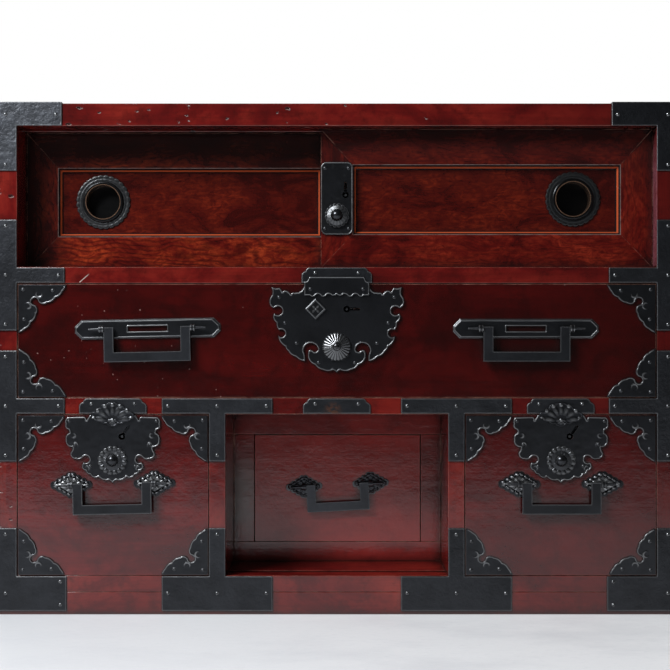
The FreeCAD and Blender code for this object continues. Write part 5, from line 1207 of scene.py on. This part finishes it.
class TANSU_OT_small_locks(Operator):
    """Rims, crests of petals and beaded rings of the small drawers' lock plates"""

    bl_idname = "tansu.small_locks"
    bl_label = "Small drawers' locks"

    def execute(self, context):
        iron = context.scene.tansu_ironwork
        for seed, side in enumerate(("left", "right")):
            node = side + "_lock_plate"
            body = side + "_drawer"
            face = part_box(body + "_front")[0].y
            plane = face - LOCK_PLATE
            layer = face - LOCK_LAYER
            button = middle(side + "_lock_button")
            plates = plate_loops(node, plane)
            height = self.scrolls(plates[0], rimmed_plate(iron.rim_width, iron.rim_height, 11 + seed))
            relief(side + "_lock_relief", body, plates, plane, height, iron.rim_width)
            crest = plate_loops(node, layer)[0]
            relief(side + "_lock_crest", body, [crest], layer, self.crest(crest), 1.4)
            beaded_ring(
                side + "_lock_ring_beads", body, (button.x, button.z), plane, radius=14.2, button=6.0,
                base=2.2, beads=iron.ring_beads, inner=10.8, cone=1.3, bead_height=0.95,
            )
        return {"FINISHED"}

    def scrolls(self, loop, base):
        """The plate with curls in its lobes."""
        low, high = loop.min(0) * TO_MM, loop.max(0) * TO_MM
        centre = (low[0] + high[0]) / 2
        half, tall = (high[0] - low[0]) / 2, high[1] - low[1]
        # Share of the half width, share of the height, and the angle that a curl faces
        curls = ((0.83, 0.70, 200), (0.78, 0.56, 100), (0.54, 0.22, 140))

        def height(x, z, distance, hole):
            rise = base(x, z, distance, hole)
            for side in (-1, 1):
                for across, up, lean in curls:
                    place = (centre + side * across * half, low[1] + up * tall)
                    facing = math.radians(lean if side > 0 else 180 - lean)
                    rise = np.maximum(rise, crescent(x, z, place, 2.3, facing))
            return rise

        return height

    def crest(self, loop):
        """Fan of petals with beads at their tips, over a small bud."""
        low, high = loop.min(0) * TO_MM, loop.max(0) * TO_MM
        half = (high[0] - low[0]) / 2
        root = ((low[0] + high[0]) / 2, low[1] + 0.26 * (high[1] - low[1]))
        top = high[1] - root[1]
        # A petal and the bead at its tip: place, half length and half width as shares of
        # the fan's reach, and height
        fan = ((0.56, 0.27, 0.13, 0.8), (0.86, 0.115, 0.115, 1.15))
        petals, first, last = 7, 4, 176

        def height(x, z, distance, hole):
            rise = smooth(distance, 0, 0.6) * 0.1
            rise = np.maximum(rise, round_over(distance - 0.7, 0.7, 0.4))
            for step in range(petals):
                angle = math.radians(first + step * (last - first) / (petals - 1))
                reach = 1 / math.hypot(math.cos(angle) / half, math.sin(angle) / top)
                for share, long, wide, tall in fan:
                    long, wide = max(2.4, long * reach), max(2.1, wide * reach)
                    tip = beyond(root, share * reach, angle)
                    rise = np.maximum(rise, petal(x, z, tip, angle, long, wide, tall))
            for step in range(5):
                angle = math.radians(-90 + (step - 2) * 42)
                rise = np.maximum(rise, petal(x, z, beyond(root, 2.9, angle), angle, 2.4, 1.3, 0.75))
            return np.maximum(rise, petal(x, z, root, 0, 1.9, 1.9, 1.2))

        return height


class TANSU_OT_door_lock(Operator):
    """Rim and beaded ring of the sliding door's lock plate"""

    bl_idname = "tansu.door_lock"
    bl_label = "Door lock"

    def execute(self, context):
        iron = context.scene.tansu_ironwork
        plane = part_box("front_door_frame")[0].y - LOCK_PLATE
        button = middle("door_lock_button")
        plates = plate_loops("door_lock_plate", plane)
        height = rimmed_plate(1.1, 0.35, 23, ground=0.08)
        relief("door_lock_relief", "front_door", plates, plane, height, 1.0)
        beaded_ring(
            "door_lock_ring_beads", "front_door", (button.x, button.z), plane, radius=12.0, button=6.0,
            base=2.2, beads=iron.ring_beads, inner=10.9, cone=2.3, bead_height=0.3,
        )
        return {"FINISHED"}


class TANSU_OT_corners(Operator):
    """Rims and curls of the plates in the drawers' corners"""

    bl_idname = "tansu.corners"
    bl_label = "Drawer corner plates"

    def execute(self, context):
        for seed, drawer in enumerate(DRAWERS[:3]):
            node = drawer + "_corners"
            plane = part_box(drawer + "_front")[0].y - CORNER_PLATE
            low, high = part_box(node)
            for number, loop in enumerate(plate_loops(node, plane)):
                centre = loop.mean(0)
                corner = (
                    low.x if centre[0] < (low.x + high.x) / 2 else high.x,
                    low.z if centre[1] < (low.z + high.z) / 2 else high.z,
                )
                height = self.curls(context, loop, corner, 31 + 4 * seed + number)
                rim = context.scene.tansu_ironwork.corner_rim_width
                relief(f"{node}_relief_{number}", drawer, [loop], plane, height, rim)
        return {"FINISHED"}

    def curls(self, context, loop, corner, seed):
        """Rim along the curved side, and two curls beside its notch.

        The curls' places are shares of the plate's leg, from its corner.
        """
        iron = context.scene.tansu_ironwork
        leg = float(np.ptp(loop[:, 0])) * TO_MM
        corner_x, corner_z = corner[0] * TO_MM, corner[1] * TO_MM
        side_x = 1 if loop[:, 0].mean() > corner[0] else -1
        side_z = 1 if loop[:, 1].mean() > corner[1] else -1
        plain_border = 1.6
        base = rimmed_plate(iron.corner_rim_width, iron.corner_rim_height, seed)
        curls = []
        for u, v in ((0.44, 0.2), (0.2, 0.44)):
            place = (corner_x + side_x * u * leg, corner_z + side_z * v * leg)
            notch = (corner_x + side_x * 0.4 * leg, corner_z + side_z * 0.4 * leg)
            curls.append((place, math.atan2(notch[1] - place[1], notch[0] - place[0])))

        def height(x, z, distance, hole):
            field = 0.10 + hammered(x, z, seed)
            straight = np.minimum(np.abs(x - corner_x), np.abs(z - corner_z))
            flat = field * smooth(distance, 0, 0.5)
            rise = np.where(straight < plain_border, flat, base(x, z, distance, hole))
            for place, facing in curls:
                rise = np.maximum(rise, crescent(x, z, place, 0.062 * leg, facing))
            return rise

        return height


class TANSU_OT_rosettes(Operator):
    """Beaded diamonds under the handles' eyes"""

    bl_idname = "tansu.rosettes"
    bl_label = "Rosettes"

    def execute(self, context):
        for side in ("left", "right", "niche"):
            node = side + "_handle_mounts"
            body = side + "_drawer"
            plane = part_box(body + "_front")[0].y - HANDLE_MOUNT
            # The niche's rosettes take iron painted lighter, as painted light
            iron = niche_iron_painted_light() if side == "niche" else rosette_iron()
            for number, loop in enumerate(plate_loops(node, plane)[:2]):
                relief(f"{node}_relief_{number}", body, [loop], plane, self.beads(loop), 0.8, iron)
        return {"FINISHED"}

    def beads(self, loop):
        """Beads along the four sides, petals inside them and a raised middle."""
        centre = (loop.max(0) + loop.min(0)) / 2 * TO_MM
        points = loop * TO_MM - centre
        tip = points[np.argmax(points[:, 0])]
        tilt = math.atan2(tip[1], tip[0])
        half = (float(np.hypot(*tip)) * 0.97, float(np.ptp(points[:, 1])) / 2 * 0.93)

        def height(x, z, distance, hole):
            u = (x - centre[0]) * math.cos(tilt) + (z - centre[1]) * math.sin(tilt)
            v = (z - centre[1]) * math.cos(tilt) - (x - centre[0]) * math.sin(tilt)
            share = np.abs(u) / half[0] + np.abs(v) / half[1]
            rise = smooth(distance, 0, 0.5) * 0.12 + 1.25 * smooth(share, 0.74, 0.64)
            for side_u in (-1, 1):
                for side_v in (-1, 1):
                    slope = math.atan2(-side_v * half[1], side_u * half[0])
                    for way in (0.125, 0.375, 0.625, 0.875):
                        bead = (side_u * half[0] * (1 - way) * 0.9, side_v * half[1] * way * 0.9)
                        rise = np.maximum(rise, petal(u, v, bead, slope, 2.75, 1.75, 1.6))
                    for way in (0.28, 0.72):
                        leaf = (side_u * half[0] * (1 - way) * 0.5, side_v * half[1] * way * 0.5)
                        lean = math.atan2(leaf[1], leaf[0])
                        leaf_rise = 1.25 + petal(u, v, leaf, lean, 2.9, 1.4, 0.7) - 1.25 * (share > 0.74)
                        rise = np.maximum(rise, leaf_rise)
            ridge = round_over(np.abs(v), 1.0, 2.3) * smooth(np.abs(u), 0.86 * half[0], 0.74 * half[0])
            rise = np.maximum(rise, ridge)
            return np.maximum(rise, petal(u, v, (0, 0), 0, 3.4, 3.0, 2.3))

        return height


class TANSU_OT_handle_plates(Operator):
    """Rounded borders on the back plates of the long drawer's handles and around their slots"""

    bl_idname = "tansu.handle_plates"
    bl_label = "Long handles' back plates"

    def execute(self, context):
        width = 1.3

        def height(x, z, distance, hole):
            return rolled_edge(np.minimum(distance, hole), width, 0.6, 0.12 + hammered(x, z, 41))

        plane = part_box("long_handle_plates")[0].y
        loops = plate_loops("long_handle_plates", plane)
        for number, outer in enumerate(loops[:2]):
            middle_x = outer[:, 0].mean()
            holes = [loop for loop in loops[2:] if abs(loop[:, 0].mean() - middle_x) < 0.1]
            name = f"long_handle_plates_relief_{number}"
            relief(name, "long_drawer", [outer] + holes, plane, height, width)
        return {"FINISHED"}


class TANSU_OT_pulls(Operator):
    """Coppery rims and beaded flanges of the finger pulls"""

    bl_idname = "tansu.pulls"
    bl_label = "Finger pulls"

    def execute(self, context):
        count = context.scene.tansu_ironwork.pull_beads
        # Radii of the flange's edge, its beads, its cord and its inner side, and of the cup's lip
        flange, bead_ring, cord_ring, well, lip = 28.6, 27.5, 24.3, 22.55, 19.2
        for door in DOORS:
            pull = middle(door + "_pull")
            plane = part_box(door + "_frame")[0].y + PULL_FLANGE
            metal = {"hammered": 0.3, "gloss": 0.34, "rub": 0.1, "tint": 0.5}
            copper = (pull.x, pull.z, lip * MM)
            iron = made(door + " pull iron", forged_iron, copper_at=copper, **metal)
            paint((door + "_pull",), iron)

            def reach(angle):
                return flange + 0.9 * beading(count, angle)

            def height(distance, angle):
                bead = round_over(distance - bead_ring, 1.3, 0.24) * beading(count, angle) ** 0.6
                twist = np.abs(np.sin(count * angle / 2 + distance * 0.9))
                cord = round_over(distance - cord_ring, 1.2, 0.16 + 0.1 * twist)
                edge = smooth(reach(angle) - distance, 0, 0.9)
                return 0.08 + np.maximum(bead, cord) * edge

            beads = (door + "_pull_beads", door, (pull.x, pull.z), plane, well, reach, height)
            piece = turned(*beads, count * 10, 20, iron)
        return {"FINISHED"}


class TANSU_OT_stage(Operator):
    """Pale floor, window light, room and camera"""

    bl_idname = "tansu.stage"
    bl_label = "Floor, light and camera"

    def execute(self, context):
        scene = context.scene
        stage = scene.tansu_stage
        self.floor()
        self.lamp("window light", (-1.0, -1.05, 1.45), (0.0, -0.3, 0.2), stage)
        self.room(scene, stage)
        camera = bpy.data.cameras.new("camera")
        camera.lens = stage.lens
        camera.shift_x = stage.shift_x
        camera.shift_y = stage.shift_y
        camera.clip_start = 0.05
        holder = bpy.data.objects.new("camera", camera)
        holder.location = stage.camera_place
        holder.rotation_euler = (math.radians(90), 0, 0)
        scene.collection.objects.link(holder)
        scene.camera = holder
        scene.view_settings.view_transform = "Standard"
        return {"FINISHED"}

    def floor(self):
        """Level grid, wider than the camera sees."""
        count = 24
        left, width, near, depth = -7, 14, -1.9, 9
        points = []
        for row in range(count + 1):
            for column in range(count + 1):
                points.append((left + width * column / count, near + depth * row / count, 0.0))
        faces = []
        for row in range(count):
            for column in range(count):
                start = row * (count + 1) + column
                faces.append((start, start + 1, start + count + 2, start + count + 1))
        mesh = bpy.data.meshes.new("floor")
        mesh.from_pydata(points, [], faces)
        mesh.materials.append(made("pale floor", pale_floor))
        floor = bpy.data.objects.new("floor", mesh)
        bpy.context.scene.collection.objects.link(floor)

    def lamp(self, name, place, aim, stage):
        light = bpy.data.lights.new(name, "AREA")
        light.shape = "DISK"
        light.size = stage.key_size
        light.energy = stage.key_power
        light.color = (0.96, 0.98, 1.0)
        holder = bpy.data.objects.new(name, light)
        holder.location = place
        holder.rotation_euler = (Vector(aim) - Vector(place)).to_track_quat("-Z", "Y").to_euler()
        bpy.context.scene.collection.objects.link(holder)

    def room(self, scene, stage):
        """White backdrop for the camera, white behind the chest and dim before it in gloss."""
        world = bpy.data.worlds.new("room")
        world.use_nodes = True
        scene.world = world
        nodes, links = world.node_tree.nodes, world.node_tree.links
        nodes.clear()

        def light(tint, strength=1.0):
            node = nodes.new("ShaderNodeBackground")
            node.inputs["Color"].default_value = (*tint, 1.0)
            node.inputs["Strength"].default_value = strength
            return node

        def joined(kind, *sources):
            """New node with its first inputs linked."""
            node = nodes.new(kind)
            for socket, source in zip(node.inputs, sources):
                links.new(source, socket)
            return node

        white = (1.0, 1.0, 1.0)
        backdrop, gloss = light(white), light(white)
        ambient = light((0.95, 0.98, 1.0), stage.ambient)
        path = nodes.new("ShaderNodeLightPath").outputs
        axes = joined("ShaderNodeSeparateXYZ", nodes.new("ShaderNodeTexCoord").outputs["Generated"])
        depth = joined("ShaderNodeMapRange", axes.outputs["Y"])
        # Reflections are dim in front of the chest and brighten towards the back
        for index, value in enumerate((-0.2, 0.6, stage.room, 1.0)):
            depth.inputs[index + 1].default_value = value
        links.new(depth.outputs[0], gloss.inputs["Strength"])
        reflected = joined("ShaderNodeMath", path["Is Glossy Ray"], path["Is Transmission Ray"])
        reflected.operation = "MAXIMUM"
        lit = joined("ShaderNodeMixShader", reflected.outputs[0], ambient.outputs[0], gloss.outputs[0])
        seen = joined("ShaderNodeMixShader", path["Is Camera Ray"], lit.outputs[0], backdrop.outputs[0])
        joined("ShaderNodeOutputWorld", seen.outputs[0])


PIECES = (
    TANSU_OT_carcass,
    TANSU_OT_doors,
    TANSU_OT_drawers,
    TANSU_OT_inside,
    TANSU_OT_iron,
    TANSU_OT_long_lock,
    TANSU_OT_small_locks,
    TANSU_OT_door_lock,
    TANSU_OT_corners,
    TANSU_OT_rosettes,
    TANSU_OT_handle_plates,
    TANSU_OT_pulls,
    TANSU_OT_stage,
)


class TANSU_PT_chest(Panel):
    """Lists the chest's pieces, finishes and stage"""

    bl_label = "Small Tansu Chest"
    bl_idname = "TANSU_PT_chest"
    bl_space_type = "VIEW_3D"
    bl_region_type = "UI"
    bl_category = "Tansu"

    def draw(self, context):
        for piece in PIECES:
            self.layout.operator(piece.bl_idname)
        for group in (context.scene.tansu_finish, context.scene.tansu_ironwork, context.scene.tansu_stage):
            box = self.layout.box()
            for name in group.__annotations__:
                box.prop(group, name)


GROUPS = {"tansu_finish": TansuFinish, "tansu_ironwork": TansuIronwork, "tansu_stage": TansuStage}


def register():
    for group in GROUPS.values():
        bpy.utils.register_class(group)
    for name, group in GROUPS.items():
        setattr(bpy.types.Scene, name, PointerProperty(type=group))
    for piece in PIECES:
        bpy.utils.register_class(piece)
    bpy.utils.register_class(TANSU_PT_chest)


def unregister():
    bpy.utils.unregister_class(TANSU_PT_chest)
    for piece in reversed(PIECES):
        bpy.utils.unregister_class(piece)
    for name, group in GROUPS.items():
        delattr(bpy.types.Scene, name)
        bpy.utils.unregister_class(group)


def main():
    register()
    for piece in PIECES:
        area, name = piece.bl_idname.split(".")
        getattr(getattr(bpy.ops, area), name)()


if __name__ == "__main__":
    main()
